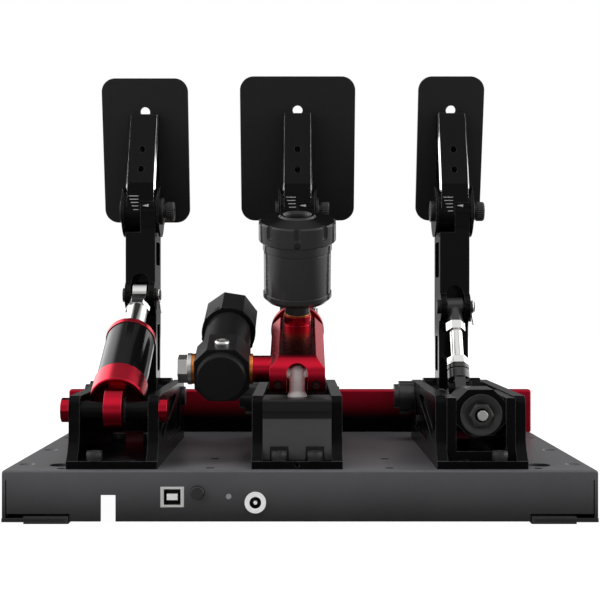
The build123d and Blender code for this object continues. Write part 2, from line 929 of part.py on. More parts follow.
def clevis_pin(x, pin_back, pin_z):
    """Headed pin through the fork, with a spring clip on its right end."""
    pin_y = front_y + pin_back
    left = x - arm_width / 2
    right = x + arm_width / 2
    with BuildPart() as pin:
        with BuildSketch(Plane.YZ.offset(left)):
            with Locations((pin_y, pin_z)):
                Circle(pin_diameter / 2)
        extrude(amount=arm_width + pin_tail)
        with BuildSketch(Plane.YZ.offset(left)):
            with Locations((pin_y, pin_z)):
                Circle(pin_head / 2)
        extrude(amount=-pin_head_thickness)
        with BuildSketch(Plane.YZ.offset(right)):
            with Locations((pin_y, pin_z)):
                Circle(pin_head / 2)
            with Locations((pin_y, pin_z - clip_length / 2)):
                Rectangle(pin_groove, clip_length)
        extrude(amount=clip_width)
    return pin.part


def pad_plane(x, turn):
    """Side view of a pad: local x runs down the pad from its top, local y points to the driver."""
    head = side_plane(x, hinge_y, hinge_z, -turn)
    top = head.from_local_coords((pad_top_back - hinge_back, pad_top_z - hinge_z, 0))
    return side_plane(x, top.Y, top.Z, pad_tilt - 90 - turn)


def pad_bracket(x, turn):
    """Upper arm that carries the pad: a leg from the hinge and a leg along the pad, open between them.

    Its outline is drawn in a side view with the origin on the hinge, turned back by the given angle.
    """
    side = side_plane(x, hinge_y, hinge_z, -turn)
    lean = radians(pad_tilt)
    pad_y = pad_top_back - hinge_back
    pad_z = pad_top_z - hinge_z
    top_y = pad_y + bracket_top_drop * sin(lean)
    top_z = pad_z - bracket_top_drop * cos(lean)
    foot_y = pad_y + bracket_foot_drop * sin(lean)
    foot_z = pad_z - bracket_foot_drop * cos(lean)
    inner_y = pad_y - bracket_pad_leg * cos(lean)
    inner_z = pad_z - bracket_pad_leg * sin(lean)
    brow_z = bracket_brow_z - hinge_z
    window_low = bracket_window_low - hinge_z
    window_high = top_z - bracket_window_drop
    crown_y = top_y - bracket_crown
    slope = (crown_y + knuckle_radius) / (top_z - brow_z)
    low_front = bracket_leg - knuckle_radius + (window_low - brow_z) * slope
    low_back = inner_y + (inner_z - window_low) * tan(lean)
    high_front = bracket_leg - knuckle_radius + (window_high - brow_z) * slope
    high_back = max(inner_y + (inner_z - window_high) * tan(lean), high_front + bracket_window_corner)
    with BuildPart() as bracket:
        with BuildSketch(side.offset(-arm_width / 2)):
            with BuildLine():
                Polyline(
                    (top_y, top_z),
                    (foot_y, foot_z),
                    (knuckle_radius, 0),
                    (-knuckle_radius, 0),
                    (-knuckle_radius, brow_z),
                    (crown_y, top_z),
                    close=True,
                )
            make_face()
            Circle(knuckle_radius)
        extrude(amount=arm_width)
        # Long bevels along the outer edges of the front leg
        for edge_side in (-1, 1):
            corner = side.offset(edge_side * arm_width / 2)
            foot_point = corner.from_local_coords((-knuckle_radius, 0, 0))
            brow_point = corner.from_local_coords((-knuckle_radius, brow_z, 0))
            crown_point = corner.from_local_coords((crown_y, top_z, 0))
            across = Plane(origin=foot_point, x_dir=(-edge_side, 0, 0), z_dir=side.y_dir)
            inward = 1 if across.y_dir.dot(side.x_dir) > 0 else -1
            with BuildSketch(across):
                with BuildLine():
                    Polyline((0, 0), (leg_bevel, 0), (0, inward * leg_bevel_depth), close=True)
                make_face()
            with BuildLine():
                Polyline(foot_point, brow_point, crown_point)
            sweep(transition=Transition.RIGHT, mode=Mode.SUBTRACT)
        # Window between the two legs
        with BuildSketch(side) as window:
            with BuildLine():
                Polyline(
                    (low_front, window_low),
                    (low_back, window_low),
                    (high_back, window_high),
                    (high_front, window_high),
                    close=True,
                )
            make_face()
            fillet(window.vertices(), radius=bracket_window_fillet)
        extrude(amount=arm_width, both=True, mode=Mode.SUBTRACT)
        # Right half of the hinge is cut away for the arm
        with BuildSketch(side.offset(-knuckle_split)):
            Circle(knuckle_radius + knuckle_gap)
        extrude(amount=arm_width, mode=Mode.SUBTRACT)
        # Left half of the hinge, with its side disc
        with BuildSketch(side.offset(-knuckle_split)):
            Circle(knuckle_radius)
        extrude(amount=knuckle_split - knuckle_half)
        with BuildSketch(side.offset(-knuckle_half)):
            Circle(side_disc_radius)
        extrude(amount=-side_disc_thickness)
        with BuildSketch(side):
            Circle(angle_bolt_diameter / 2 + run_fit)
        extrude(amount=-arm_width, mode=Mode.SUBTRACT)
        # Screwdriver holes through the front leg, in line with the pad's screws
        with BuildSketch(top_plane(pad_plane(x, turn), 0, 0)):
            for drop in pad_screw_drops:
                with Locations((0, drop)):
                    Circle(access_hole / 2)
        extrude(amount=-access_run, mode=Mode.SUBTRACT)
    return bracket.part


def pedal_pad(x, width, turn):
    """Flat pad with round corners, two countersunk screw holes and one spare hole near its top."""
    with BuildPart() as pad:
        with BuildSketch(top_plane(pad_plane(x, turn), 0, 0)):
            with Locations((0, pad_length / 2)):
                RectangleRounded(width, pad_length, pad_corner)
            with Locations((0, pad_hole_drop)):
                Circle(pad_hole / 2, mode=Mode.SUBTRACT)
            for drop in pad_screw_drops:
                with Locations((0, drop)):
                    Circle(pad_screw / 2, mode=Mode.SUBTRACT)
        extrude(amount=pad_thickness)
    return pad.part


def angle_bolt(x):
    """Clamp bolt of the pad hinge: washer, neck and knurled head on the right, thin nut on the left."""
    side = Plane(origin=(x, hinge_y, hinge_z), x_dir=(1, 0, 0), z_dir=(0, -1, 0))
    right = knuckle_half + side_disc_thickness
    return turned(
        side,
        (-right - angle_nut_height, 0),
        (-right - angle_nut_height, angle_nut / 2),
        (-right, angle_nut / 2),
        (-right, angle_bolt_diameter / 2),
        (right, angle_bolt_diameter / 2),
        (right, angle_washer / 2),
        (right + angle_washer_thickness, angle_washer / 2),
        (right + angle_washer_thickness, angle_neck / 2),
        (right + angle_neck_end, angle_neck / 2),
        (right + angle_neck_end, angle_head / 2),
        (right + angle_head_height, angle_head / 2),
        (right + angle_head_height, angle_socket / 2),
        (right + angle_head_height - angle_socket_depth, angle_socket / 2),
        (right + angle_head_height - angle_socket_depth, 0),
    )


# Pedals
clutch_pedal = ("clutch", clutch_x, clutch_pin_back, clutch_pin_z, clutch_slot_top)
brake_pedal = ("brake", brake_x, brake_pin_back, brake_pin_z, brake_slot_top)
throttle_pedal = ("throttle", throttle_x, throttle_pin_back, throttle_pin_z, throttle_slot_top)
for name, x, pin_back, pin_z, slot_top in (clutch_pedal, brake_pedal, throttle_pedal):
    keep(pedal_arm(x, pin_back, pin_z, slot_top), name + "_arm")
    keep(clevis_pin(x, pin_back, pin_z), name + "_clevis_pin")
    keep(angle_bolt(x), name + "_angle_bolt")
heads = (
    ("clutch", clutch_x, clutch_pad_width, clutch_head_turn),
    ("brake", brake_x, brake_pad_width, 0),
    ("throttle", throttle_x, throttle_pad_width, 0),
)
for name, x, pad_width, turn in heads:
    keep(pad_bracket(x, turn), name + "_pad_bracket")
    keep(pedal_pad(x, pad_width, turn), name + "_pad")

# Clutch damper, on the line from its eye to the clevis pin
clutch_pin_y = front_y + clutch_pin_back
damper_run = clutch_pin_y - damper_y
damper_climb = clutch_pin_z - damper_eye_z
damper_length = hypot(damper_run, damper_climb)
damper_rise = degrees(atan2(damper_climb, damper_run))
damper_x = clutch_x
damper_side = side_plane(damper_x, damper_y, damper_eye_z, damper_rise)
tube_bore = tube_diameter / 2 - tube_wall

# Sleeve between the cheeks that the damper's eye turns on, with a washer right of the eye
with BuildPart() as damper_cross_axle:
    with BuildSketch(Plane.YZ.offset(clutch_x - inner_gap / 2)):
        with Locations((damper_y, damper_eye_z)):
            Circle(cross_axle / 2)
            Circle(axle_bolt / 2, mode=Mode.SUBTRACT)
    extrude(amount=inner_gap)
    with BuildSketch(Plane.YZ.offset(damper_x + damper_eye_width / 2 + slide_fit)):
        with Locations((damper_y, damper_eye_z)):
            Circle(axle_washer / 2)
            Circle(axle_bolt / 2, mode=Mode.SUBTRACT)
    extrude(amount=axle_washer_thickness)
keep(damper_cross_axle.part, "damper_cross_axle")

with BuildPart() as damper_axle_bolts:
    for side in (-1, 1):
        cheek_face = clutch_x + side * plate_width / 2
        bolt_plane = Plane(origin=(cheek_face, damper_y, damper_eye_z), x_dir=(0, 1, 0), z_dir=(side, 0, 0))
        with BuildSketch(bolt_plane):
            RegularPolygon(axle_bolt_head / 2, 12)
        extrude(amount=axle_bolt_head_height)
        with BuildSketch(bolt_plane):
            Circle(axle_bolt / 2)
        extrude(amount=-(cheek_thickness + axle_bolt_depth))
keep(damper_axle_bolts.part, "damper_axle_bolts")

# Red eye with its bottom cap
with BuildPart() as damper_eye_cap:
    with BuildSketch(damper_side):
        with BuildLine():
            Polyline(
                (cap_recess_end, 0),
                (cap_recess_end, cap_recess / 2),
                (cap_start, cap_recess / 2),
                (cap_start, cap_diameter / 2 - cap_lip),
                (cap_start + cap_lip, cap_diameter / 2),
                (cap_end, cap_diameter / 2),
                (cap_end, tube_bore),
                (cap_end + cap_spigot, tube_bore),
                (cap_end + cap_spigot, 0),
                close=True,
            )
        make_face()
    revolve(axis=Axis(damper_side.origin, damper_side.x_dir))
    with BuildSketch(damper_side.offset(-damper_eye_width / 2)):
        Circle(damper_eye_radius)
        with Locations(((cap_recess_end + overrun) / 2, 0)):
            Rectangle(cap_recess_end + overrun, cap_bar_height)
    extrude(amount=damper_eye_width)
    with BuildSketch(damper_side):
        Circle(cross_axle / 2 + run_fit)
    extrude(amount=cap_diameter, both=True, mode=Mode.SUBTRACT)
keep(damper_eye_cap.part, "damper_eye_cap")

keep(
    turned(
        damper_side,
        (cap_end, tube_bore),
        (cap_end, tube_diameter / 2),
        (tube_end, tube_diameter / 2),
        (tube_end, tube_bore),
    ),
    "damper_tube",
)

rod_bore = rod_diameter / 2 + slide_fit
keep(
    turned(
        damper_side,
        (tube_end - ring_spigot, rod_bore),
        (tube_end - ring_spigot, tube_bore),
        (tube_end, tube_bore),
        (tube_end, ring_diameter / 2),
        (tube_end + ring_height - ring_chamfer, ring_diameter / 2),
        (tube_end + ring_height, ring_diameter / 2 - ring_chamfer),
        (tube_end + ring_height, rod_bore),
    ),
    "damper_top_ring",
)

# Rod with its piston, lock nut and clevis
piston_top = tube_end - ring_spigot - side_gap
piston_foot = piston_top - piston_height
with BuildPart() as damper_rod:
    with BuildSketch(damper_side):
        with BuildLine():
            Polyline(
                (piston_foot, 0),
                (piston_foot, tube_bore - piston_gap),
                (piston_top, tube_bore - piston_gap),
                (piston_top, rod_diameter / 2),
                (rod_end, rod_diameter / 2),
                (rod_end, 0),
                close=True,
            )
        make_face()
    revolve(axis=Axis(damper_side.origin, damper_side.x_dir))
    with BuildSketch(end_plane(damper_side, rod_end)):
        RegularPolygon(lock_nut_width / 2, 6, major_radius=False)
    extrude(amount=lock_nut_height)
    with BuildSketch(damper_side.offset(-clevis_width / 2)):
        with Locations(((rod_end + damper_length) / 2, 0)):
            Rectangle(damper_length - rod_end, clevis_height)
        with Locations((damper_length, 0)):
            Circle(clevis_radius)
    extrude(amount=clevis_width)
    with BuildSketch(damper_side):
        with Locations((damper_length, 0)):
            Circle(pin_diameter / 2 + open_pivot_gap)
    extrude(amount=clevis_width, both=True, mode=Mode.SUBTRACT)
keep(damper_rod.part, "damper_rod")

keep(
    turned(
        damper_side,
        (cap_end + cap_spigot, tube_bore - side_gap - spring_wall),
        (cap_end + cap_spigot, tube_bore - side_gap),
        (piston_foot, tube_bore - side_gap),
        (piston_foot, tube_bore - side_gap - spring_wall),
    ),
    "damper_spring",
)

# Brake: front block between the cheeks, with the post that carries the master cylinder
with BuildPart() as brake_front_block:
    block_y = front_y + block_front
    block_plane = Plane.XZ.offset(-block_y)
    with BuildSketch(Plane.XY.offset(plate_top)):
        with Locations((brake_x, front_y + (block_front + block_back) / 2)):
            Rectangle(inner_gap, block_back - block_front)
    extrude(amount=block_top - plate_top)
    # Face set back under the upper lip, with notches for the two front screws
    with BuildSketch(block_plane):
        with Locations((brake_x, (plate_top + block_top - block_lip) / 2)):
            Rectangle(inner_gap, block_top - block_lip - plate_top)
    extrude(amount=-block_lip_reach, mode=Mode.SUBTRACT)
    notch_side = screw_head / 2 + side_gap
    for side in (-1, 1):
        with BuildSketch(Plane.XY.offset(plate_top)):
            with Locations((brake_x + side * screw_side, front_y + screw_back)):
                Rectangle(block_notch, notch_side + notch_side)
        extrude(amount=block_notch_depth, mode=Mode.SUBTRACT)
    chamfer(brake_front_block.edges().filter_by(Axis.X).group_by(Axis.Z)[-1], length=block_chamfer)
keep(brake_front_block.part, "brake_front_block")

eye_y = front_y + eye_back
post_plane = Plane(origin=(brake_x, eye_y, block_top), x_dir=(0, 0, 1), z_dir=(1, 0, 0))
post_height = eye_z - block_top + post_diameter / 2
with BuildPart() as brake_eye_post:
    with BuildSketch(post_plane):
        with BuildLine():
            sole = Line((0, 0), (0, post_foot / 2))
            rim = Line(sole @ 1, (post_rim_height, post_foot / 2))
            bell = Line(rim @ 1, (post_foot_height, post_diameter / 2))
            stem = Line(bell @ 1, (post_height - post_round, post_diameter / 2))
            TangentArc(stem @ 1, (post_height, post_tip), tangent=(1, 0))
            Line((post_height, post_tip), (post_height, 0))
            Line((post_height, 0), (0, 0))
        make_face()
    revolve(axis=Axis(post_plane.origin, post_plane.x_dir))
    # Cross pin that the master cylinder swings on
    with BuildSketch(Plane.YZ.offset(brake_x)):
        with Locations((eye_y, eye_z)):
            Circle(post_pin / 2)
    extrude(amount=post_pin_half, both=True)
keep(brake_eye_post.part, "brake_eye_post")

# Master cylinder, on the line from the post to the brake arm's pin
brake_pin_y = front_y + brake_pin_back
brake_run = brake_pin_y - eye_y
brake_climb = brake_pin_z - eye_z
brake_length = hypot(brake_run, brake_climb)
brake_rise = degrees(atan2(brake_climb, brake_run))
master_side = side_plane(brake_x, eye_y, eye_z, brake_rise)
with BuildPart() as master_cylinder:
    with BuildSketch(end_plane(master_side, 0)) as master_section:
        with Locations(((master_left - master_right) / 2, 0)):
            Rectangle(master_left + master_right, master_height)
        chamfer(master_section.vertices(), length=master_chamfer)
    extrude(amount=master_end)
    # Front end, round about the cross pin; the upper chamfers run out into it
    with BuildSketch(end_plane(master_side, -master_height / 2)):
        with BuildLine():
            Polyline(
                (-master_right, -master_height / 2),
                (-master_right, master_height / 2 - master_chamfer),
                (master_chamfer - master_right, master_height / 2),
                (master_left - master_chamfer, master_height / 2),
                (master_left, master_height / 2 - master_chamfer),
                (master_left, -master_height / 2),
                close=True,
            )
        make_face()
    extrude(amount=master_height / 2)
    with BuildSketch(master_side):
        with Locations((-master_height / 2, 0)):
            Rectangle(master_height, master_height + master_height)
        Circle(master_height / 2, mode=Mode.SUBTRACT)
    extrude(amount=master_left + master_right, both=True, mode=Mode.SUBTRACT)
    # Groove lines along both sides of the top
    for side in (-1, 1):
        groove_x = (master_right - master_left) / 2 + side * (master_bore / 2 + master_groove)
        with BuildSketch(end_plane(master_side, 0)):
            with Locations((-groove_x, master_height / 2)):
                Rectangle(master_groove, master_groove)
        extrude(amount=master_end, mode=Mode.SUBTRACT)
    # Collar and polished flange round the push rod
    with BuildSketch(end_plane(master_side, master_end)):
        Circle(master_collar / 2)
    extrude(amount=master_collar_length)
    with BuildSketch(end_plane(master_side, master_end + master_collar_length)):
        Circle(master_flange / 2)
    extrude(amount=master_flange_length)
    # Boss under the reservoir
    with BuildSketch(top_plane(master_side, reservoir_station, 0)):
        Circle(reservoir_boss / 2)
    extrude(amount=reservoir_boss_top)
    # Neck towards the pressure cylinder
    with BuildSketch(master_side.offset(-master_left + overrun)):
        with Locations((banjo_station, 0)):
            Circle(banjo_neck / 2)
    extrude(amount=-banjo_neck_height - overrun)
    # Bore for the push rod, open at the flange
    with BuildSketch(end_plane(master_side, master_bore_start)):
        Circle(master_bore / 2)
    extrude(amount=brake_length, mode=Mode.SUBTRACT)
    # Hole for the banjo bolt in the neck
    with BuildSketch(master_side.offset(-master_left - banjo_neck_height)):
        with Locations((banjo_station, 0)):
            Circle(banjo_hole / 2)
    extrude(amount=banjo_depth, mode=Mode.SUBTRACT)
    # Arched notch that the post stands in, and the holes for its pin
    with BuildSketch(Plane.XZ.offset(-eye_y)):
        with Locations((brake_x, eye_z - master_height)):
            Rectangle(master_notch, master_height + master_height)
        with Locations((brake_x, eye_z)):
            Circle(master_notch / 2)
    extrude(amount=master_notch_run, both=True, mode=Mode.SUBTRACT)
    with BuildSketch(Plane.YZ.offset(brake_x)):
        with Locations((eye_y, eye_z)):
            Circle(post_pin / 2 + run_fit)
    extrude(amount=post_pin_half + side_gap, both=True, mode=Mode.SUBTRACT)
    # Two set screw holes in the rounded end
    with BuildSketch(Plane.XZ.offset(set_screw_floor - eye_y)):
        with Locations((brake_x - set_screw_side, set_screw_z), (brake_x + set_screw_side, set_screw_z)):
            Circle(set_screw / 2)
    extrude(amount=master_height, mode=Mode.SUBTRACT)
keep(master_cylinder.part, "master_cylinder")

# Push rod: piston in the bore, lock nut and eye in the arm's fork
with BuildPart() as push_rod:
    piston_start = master_end - push_rod_piston_back
    with BuildSketch(master_side):
        with BuildLine():
            Polyline(
                (piston_start, 0),
                (piston_start, master_bore / 2 - piston_clearance),
                (piston_start + push_rod_piston_length, master_bore / 2 - piston_clearance),
                (piston_start + push_rod_piston_length, push_rod_diameter / 2),
                (brake_length, push_rod_diameter / 2),
                (brake_length, 0),
                close=True,
            )
        make_face()
    revolve(axis=Axis(master_side.origin, master_side.x_dir))
    with BuildSketch(end_plane(master_side, brake_length - clevis_radius - push_nut_gap - push_nut_height)):
        RegularPolygon(push_nut_width / 2, 6, major_radius=False)
    extrude(amount=push_nut_height)
    with BuildSketch(master_side.offset(-push_rod_eye_width / 2)):
        with Locations((brake_length, 0)):
            Circle(clevis_radius)
    extrude(amount=push_rod_eye_width)
    with BuildSketch(master_side):
        with Locations((brake_length, 0)):
            Circle(pin_diameter / 2 + open_pivot_gap)
    extrude(amount=push_rod_eye_width, both=True, mode=Mode.SUBTRACT)
keep(push_rod.part, "push_rod")

# Reservoir on its boss
reservoir_origin = master_side.from_local_coords((reservoir_station, 0, 0))
reservoir_side = Plane(origin=reservoir_origin, x_dir=master_side.y_dir, z_dir=(-1, 0, 0))
groove_foot = reservoir_shoulder - reservoir_groove_drop
groove_top = groove_foot + reservoir_groove
reservoir_inner = reservoir_diameter / 2 - reservoir_wall
cap_radius = reservoir_diameter / 2 + cap_overhang
flute_ring = cap_radius + cap_flute_radius - cap_flute_depth
washer_top = reservoir_boss_top + reservoir_washer_thickness
neck_radius = reservoir_inner - reservoir_neck_wall
keep(
    turned(
        reservoir_side,
        (washer_top, 0),
        (washer_top, reservoir_collar / 2),
        (reservoir_bottom, reservoir_collar / 2),
        (reservoir_bottom, reservoir_diameter / 2 - reservoir_chamfer),
        (reservoir_bottom + reservoir_chamfer, reservoir_diameter / 2),
        (reservoir_bottom + reservoir_band_height, reservoir_diameter / 2),
        (reservoir_bottom + reservoir_band_height, reservoir_diameter / 2 - reservoir_band / 2),
        (groove_foot, reservoir_diameter / 2 - reservoir_band / 2),
        (groove_foot, reservoir_diameter / 2 - reservoir_band),
        (groove_top, reservoir_diameter / 2 - reservoir_band),
        (groove_top, reservoir_diameter / 2),
        (reservoir_shoulder, reservoir_diameter / 2),
        (reservoir_shoulder, reservoir_inner),
        (reservoir_neck_top, reservoir_inner),
        (reservoir_neck_top, neck_radius),
        (reservoir_bottom + reservoir_wall, neck_radius),
        (reservoir_bottom + reservoir_wall, 0),
    ),
    "reservoir",
)

# Screw cap with flutes round its rim, a domed top and a raised ring on it
with BuildPart() as reservoir_cap:
    with BuildSketch(reservoir_side):
        with BuildLine():
            Polyline(
                (reservoir_shoulder + slide_fit, reservoir_inner + slide_fit),
                (reservoir_shoulder + slide_fit, cap_radius - cap_edge),
                (reservoir_shoulder + cap_edge, cap_radius),
                (cap_side_top, cap_radius),
                (cap_side_top + cap_side_bevel, cap_radius - cap_side_bevel),
                (reservoir_top, cap_boss / 2 + cap_boss_height),
                (reservoir_top + cap_boss_height, cap_boss / 2),
                (reservoir_top + cap_boss_height, cap_dish / 2 + cap_boss_height),
                (reservoir_top + cap_boss_height - cap_dish_depth, cap_dish / 2),
                (reservoir_top + cap_boss_height - cap_dish_depth, 0),
                (reservoir_neck_top + slide_fit, 0),
                (reservoir_neck_top + slide_fit, reservoir_inner + slide_fit),
                close=True,
            )
        make_face()
    revolve(axis=Axis(reservoir_side.origin, reservoir_side.x_dir))
    with BuildSketch(end_plane(reservoir_side, cap_flute_foot)):
        with PolarLocations(flute_ring, cap_flutes, start_angle=cap_flute_start):
            Circle(cap_flute_radius)
    extrude(amount=reservoir_top, mode=Mode.SUBTRACT)
    with Locations(end_plane(reservoir_side, cap_flute_foot)):
        with PolarLocations(flute_ring, cap_flutes, start_angle=cap_flute_start):
            Sphere(cap_flute_radius, mode=Mode.SUBTRACT)
    # Dimple under the front flute
    dimple_origin = reservoir_side.from_local_coords((cap_dimple_height, cap_dimple_depth - cap_radius, 0))
    with BuildSketch(Plane(origin=dimple_origin, x_dir=(1, 0, 0), z_dir=-reservoir_side.y_dir)):
        Circle(cap_dimple / 2)
    extrude(amount=cap_radius, mode=Mode.SUBTRACT)
keep(reservoir_cap.part, "reservoir_cap")

# Pressure cylinder beside the master cylinder, with its cap and the elastomer stack in it
neck_face = brake_x - master_left - banjo_neck_height
pressure_side_reach = pressure_body / 2
pressure_x = neck_face - banjo_washer_thickness - pressure_side_reach
pressure_side = side_plane(pressure_x, eye_y, eye_z, brake_rise)
pressure_axis = Axis(pressure_side.origin, pressure_side.x_dir)
with BuildPart() as pressure_cylinder:
    # Nose disc and neck
    with BuildSketch(pressure_side):
        with BuildLine():
            Polyline(
                (-pressure_nose, 0),
                (-pressure_nose, pressure_nose_disc / 2 - pressure_nose_bevel),
                (pressure_nose_bevel - pressure_nose, pressure_nose_disc / 2),
                (0, pressure_nose_disc / 2),
                (0, pressure_neck / 2),
                (pressure_neck_end, pressure_neck / 2),
                (pressure_neck_end, 0),
                close=True,
            )
        make_face()
    revolve(axis=pressure_axis)
    # Square body with broad chamfers, flat where the banjo washers and the bleed screw sit
    with BuildSketch(end_plane(pressure_side, -pressure_body_start)) as pressure_section:
        Rectangle(pressure_body, pressure_body)
        chamfer(pressure_section.vertices(), length=pressure_body_chamfer)
    extrude(amount=pressure_body_start + pressure_shoulder)
    with BuildSketch(end_plane(pressure_side, pressure_shoulder + pressure_cap_wall)):
        Circle(pressure_bore / 2)
    extrude(amount=pressure_neck_end, mode=Mode.SUBTRACT)
    with BuildSketch(pressure_side):
        with Locations((banjo_station, 0)):
            Circle(banjo_hole / 2)
    extrude(amount=pressure_body, both=True, mode=Mode.SUBTRACT)
keep(pressure_cylinder.part, "pressure_cylinder")

with BuildPart() as pressure_cap:
    with BuildSketch(end_plane(pressure_side, pressure_neck_end)):
        RegularPolygon(pressure_cap_width / 2, 8, major_radius=False, rotation=pressure_cap_turn)
    extrude(amount=pressure_cap_end - pressure_neck_end)
    with BuildSketch(end_plane(pressure_side, pressure_neck_end)):
        Circle(pressure_cap_rim / 2)
    extrude(amount=pressure_cap_rim_length)
    chamfer(pressure_cap.faces().sort_by(pressure_axis)[-1].edges(), length=pressure_cap_bevel)
    with BuildSketch(end_plane(pressure_side, pressure_neck_end)):
        Circle(elastomer_diameter / 2 + slide_fit)
    extrude(amount=pressure_cap_end - pressure_neck_end - pressure_cap_wall, mode=Mode.SUBTRACT)
keep(pressure_cap.part, "pressure_cap")

# Discs of elastomer with thin plates between them
stack_length = pressure_cap_end - pressure_cap_wall - pressure_neck_end
disc_pitch = stack_length / elastomer_discs
with BuildPart() as elastomer_stack:
    with BuildSketch(end_plane(pressure_side, pressure_neck_end)):
        Circle(elastomer_diameter / 2)
    extrude(amount=stack_length)
    for step in range(1, elastomer_discs):
        plate_station = pressure_neck_end + step * disc_pitch - elastomer_plate / 2
        with BuildSketch(end_plane(pressure_side, plate_station)):
            Circle(elastomer_diameter / 2)
            Circle(elastomer_diameter / 2 - elastomer_plate, mode=Mode.SUBTRACT)
        extrude(amount=elastomer_plate, mode=Mode.SUBTRACT)
keep(elastomer_stack.part, "elastomer_stack")

# Banjo bolt through the pressure cylinder into the master cylinder's neck, and the bleed screw
far_face = pressure_x - pressure_side_reach - banjo_washer_thickness
banjo_plane = Plane(
    origin=pressure_side.from_local_coords((banjo_station, 0, far_face - pressure_x)),
    x_dir=pressure_side.x_dir,
    z_dir=(-1, 0, 0),
)
with BuildPart() as hydraulic_screws:
    with BuildSketch(banjo_plane):
        Circle(banjo_flange / 2)
    extrude(amount=banjo_flange_height)
    with BuildSketch(banjo_plane.offset(banjo_flange_height)):
        RegularPolygon(banjo_head / 2, 6, major_radius=False)
    extrude(amount=banjo_head_height)
    with BuildSketch(banjo_plane):
        Circle(banjo_hole / 2)
    extrude(amount=-(neck_face + banjo_depth - far_face))
    with BuildSketch(top_plane(pressure_side, bleed_station, pressure_side_reach)):
        Circle(bleed_diameter / 2)
    extrude(amount=bleed_height)
    bleed_face = hydraulic_screws.faces().sort_by(Axis(pressure_side.origin, pressure_side.y_dir))[-1]
    fillet(bleed_face.edges(), radius=bleed_round)
    with BuildSketch(top_plane(pressure_side, bleed_station, pressure_side_reach + bleed_height)):
        RegularPolygon(bleed_hex / 2, 6, major_radius=False)
    extrude(amount=-bleed_hex_depth, mode=Mode.SUBTRACT)
keep(hydraulic_screws.part, "hydraulic_screws")

with BuildPart() as copper_washers:
    for face in (far_face, neck_face - banjo_washer_thickness):
        with BuildSketch(pressure_side.offset(face - pressure_x)):
            with Locations((banjo_station, 0)):
                Circle(banjo_washer / 2)
                Circle(banjo_hole / 2 + run_fit, mode=Mode.SUBTRACT)
        extrude(amount=banjo_washer_thickness)
    with BuildSketch(top_plane(master_side, reservoir_station, reservoir_boss_top)):
        Circle(reservoir_washer / 2)
    extrude(amount=reservoir_washer_thickness)
keep(copper_washers.part, "copper_washers")

# Throttle frame: a floor, two walls and the spring barrel held between them, eight-sided at its front
frame_y = front_y + frame_front
barrel_y = front_y + barrel_front
barrel_width = inner_gap - frame_wall - frame_wall
barrel_bore = barrel_width / 2 - barrel_wall
barrel_tube = barrel_width / 2 - barrel_tube_step
knob_radius = barrel_width / 2 - knob_disc_step
with BuildPart() as throttle_spring_frame:
    with BuildSketch(Plane.XZ.offset(-frame_y)):
        with Locations((throttle_x, (plate_top + frame_top) / 2)):
            Rectangle(inner_gap, frame_top - plate_top)
        with Locations((throttle_x, (plate_top + frame_floor + frame_top + overrun) / 2)):
            Rectangle(barrel_width, frame_top + overrun - plate_top - frame_floor, mode=Mode.SUBTRACT)
    extrude(amount=-frame_length)
    # Corner of the floor is open round the front screw
    notch_side = screw_head / 2 + side_gap
    with BuildSketch(Plane.XY.offset(plate_top)):
        with Locations((throttle_x + screw_side, front_y + screw_back)):
            Rectangle(notch_side + notch_side, notch_side + notch_side)
    extrude(amount=frame_floor + overrun, mode=Mode.SUBTRACT)
    with BuildSketch(Plane.XZ.offset(-barrel_y)):
        with Locations((throttle_x, barrel_z)):
            block = Rectangle(barrel_width, barrel_height)
            chamfer(block.vertices(), length=barrel_chamfer)
    extrude(amount=-barrel_block)
    with BuildSketch(Plane.XZ.offset(-barrel_y)):
        with Locations((throttle_x, spring_z)):
            Circle(barrel_tube)
    extrude(amount=-barrel_length)
    with BuildSketch(Plane.XZ.offset(-barrel_y)):
        with Locations((throttle_x, spring_z)):
            Circle(barrel_bore)
    extrude(amount=-barrel_length, mode=Mode.SUBTRACT)
keep(throttle_spring_frame.part, "throttle_spring_frame")

# Preload knob, screwed into the front of the barrel, with a flange that lies on the barrel's face
spring_side = side_plane(throttle_x, barrel_y, spring_z)
with BuildPart() as preload_knob:
    with BuildSketch(Plane.XZ.offset(-barrel_y)):
        with Locations((throttle_x, spring_z)):
            Circle(barrel_bore - run_fit)
    extrude(amount=-knob_thickness)
    # Flange with a dished face
    with BuildSketch(spring_side):
        with BuildLine():
            Polyline(
                (0, 0),
                (0, knob_radius),
                (-knob_disc_thickness, knob_radius),
                (-knob_disc_thickness, knob_radius - knob_rim),
                (knob_dish_depth - knob_disc_thickness, knob_nut_width / 2),
                (knob_dish_depth - knob_disc_thickness, 0),
                close=True,
            )
        make_face()
    revolve(axis=Axis(spring_side.origin, spring_side.x_dir))
    # Nut with its corners turned off
    with BuildSketch(Plane.XZ.offset(-barrel_y)):
        with Locations((throttle_x, spring_z)):
            RegularPolygon(knob_nut_width / 2, 6, major_radius=False)
    extrude(amount=knob_nut_height)
    with BuildSketch(spring_side):
        with BuildLine():
            Polyline(
                (-knob_nut_height, knob_nut_width / 2 - knob_nut_bevel / 2),
                (-knob_nut_height, knob_nut_width),
                (knob_nut_bevel - knob_nut_height, knob_nut_width),
                (knob_nut_bevel - knob_nut_height, knob_nut_width / 2 + knob_nut_bevel),
                close=True,
            )
        make_face()
    revolve(axis=Axis(spring_side.origin, spring_side.x_dir), mode=Mode.SUBTRACT)
    with BuildSketch(Plane.XZ.offset(-barrel_y)):
        with Locations((throttle_x, spring_z)):
            Circle(knob_bore / 2)
    extrude(amount=barrel_length, both=True, mode=Mode.SUBTRACT)
keep(preload_knob.part, "preload_knob")

# Spring rod: guide rod through the knob, seat in the barrel, and two prongs to the crank's pins
prong_inner = crank_gap / 2 + crank_plate + prong_gap
seat_start = barrel_length - seat_thickness
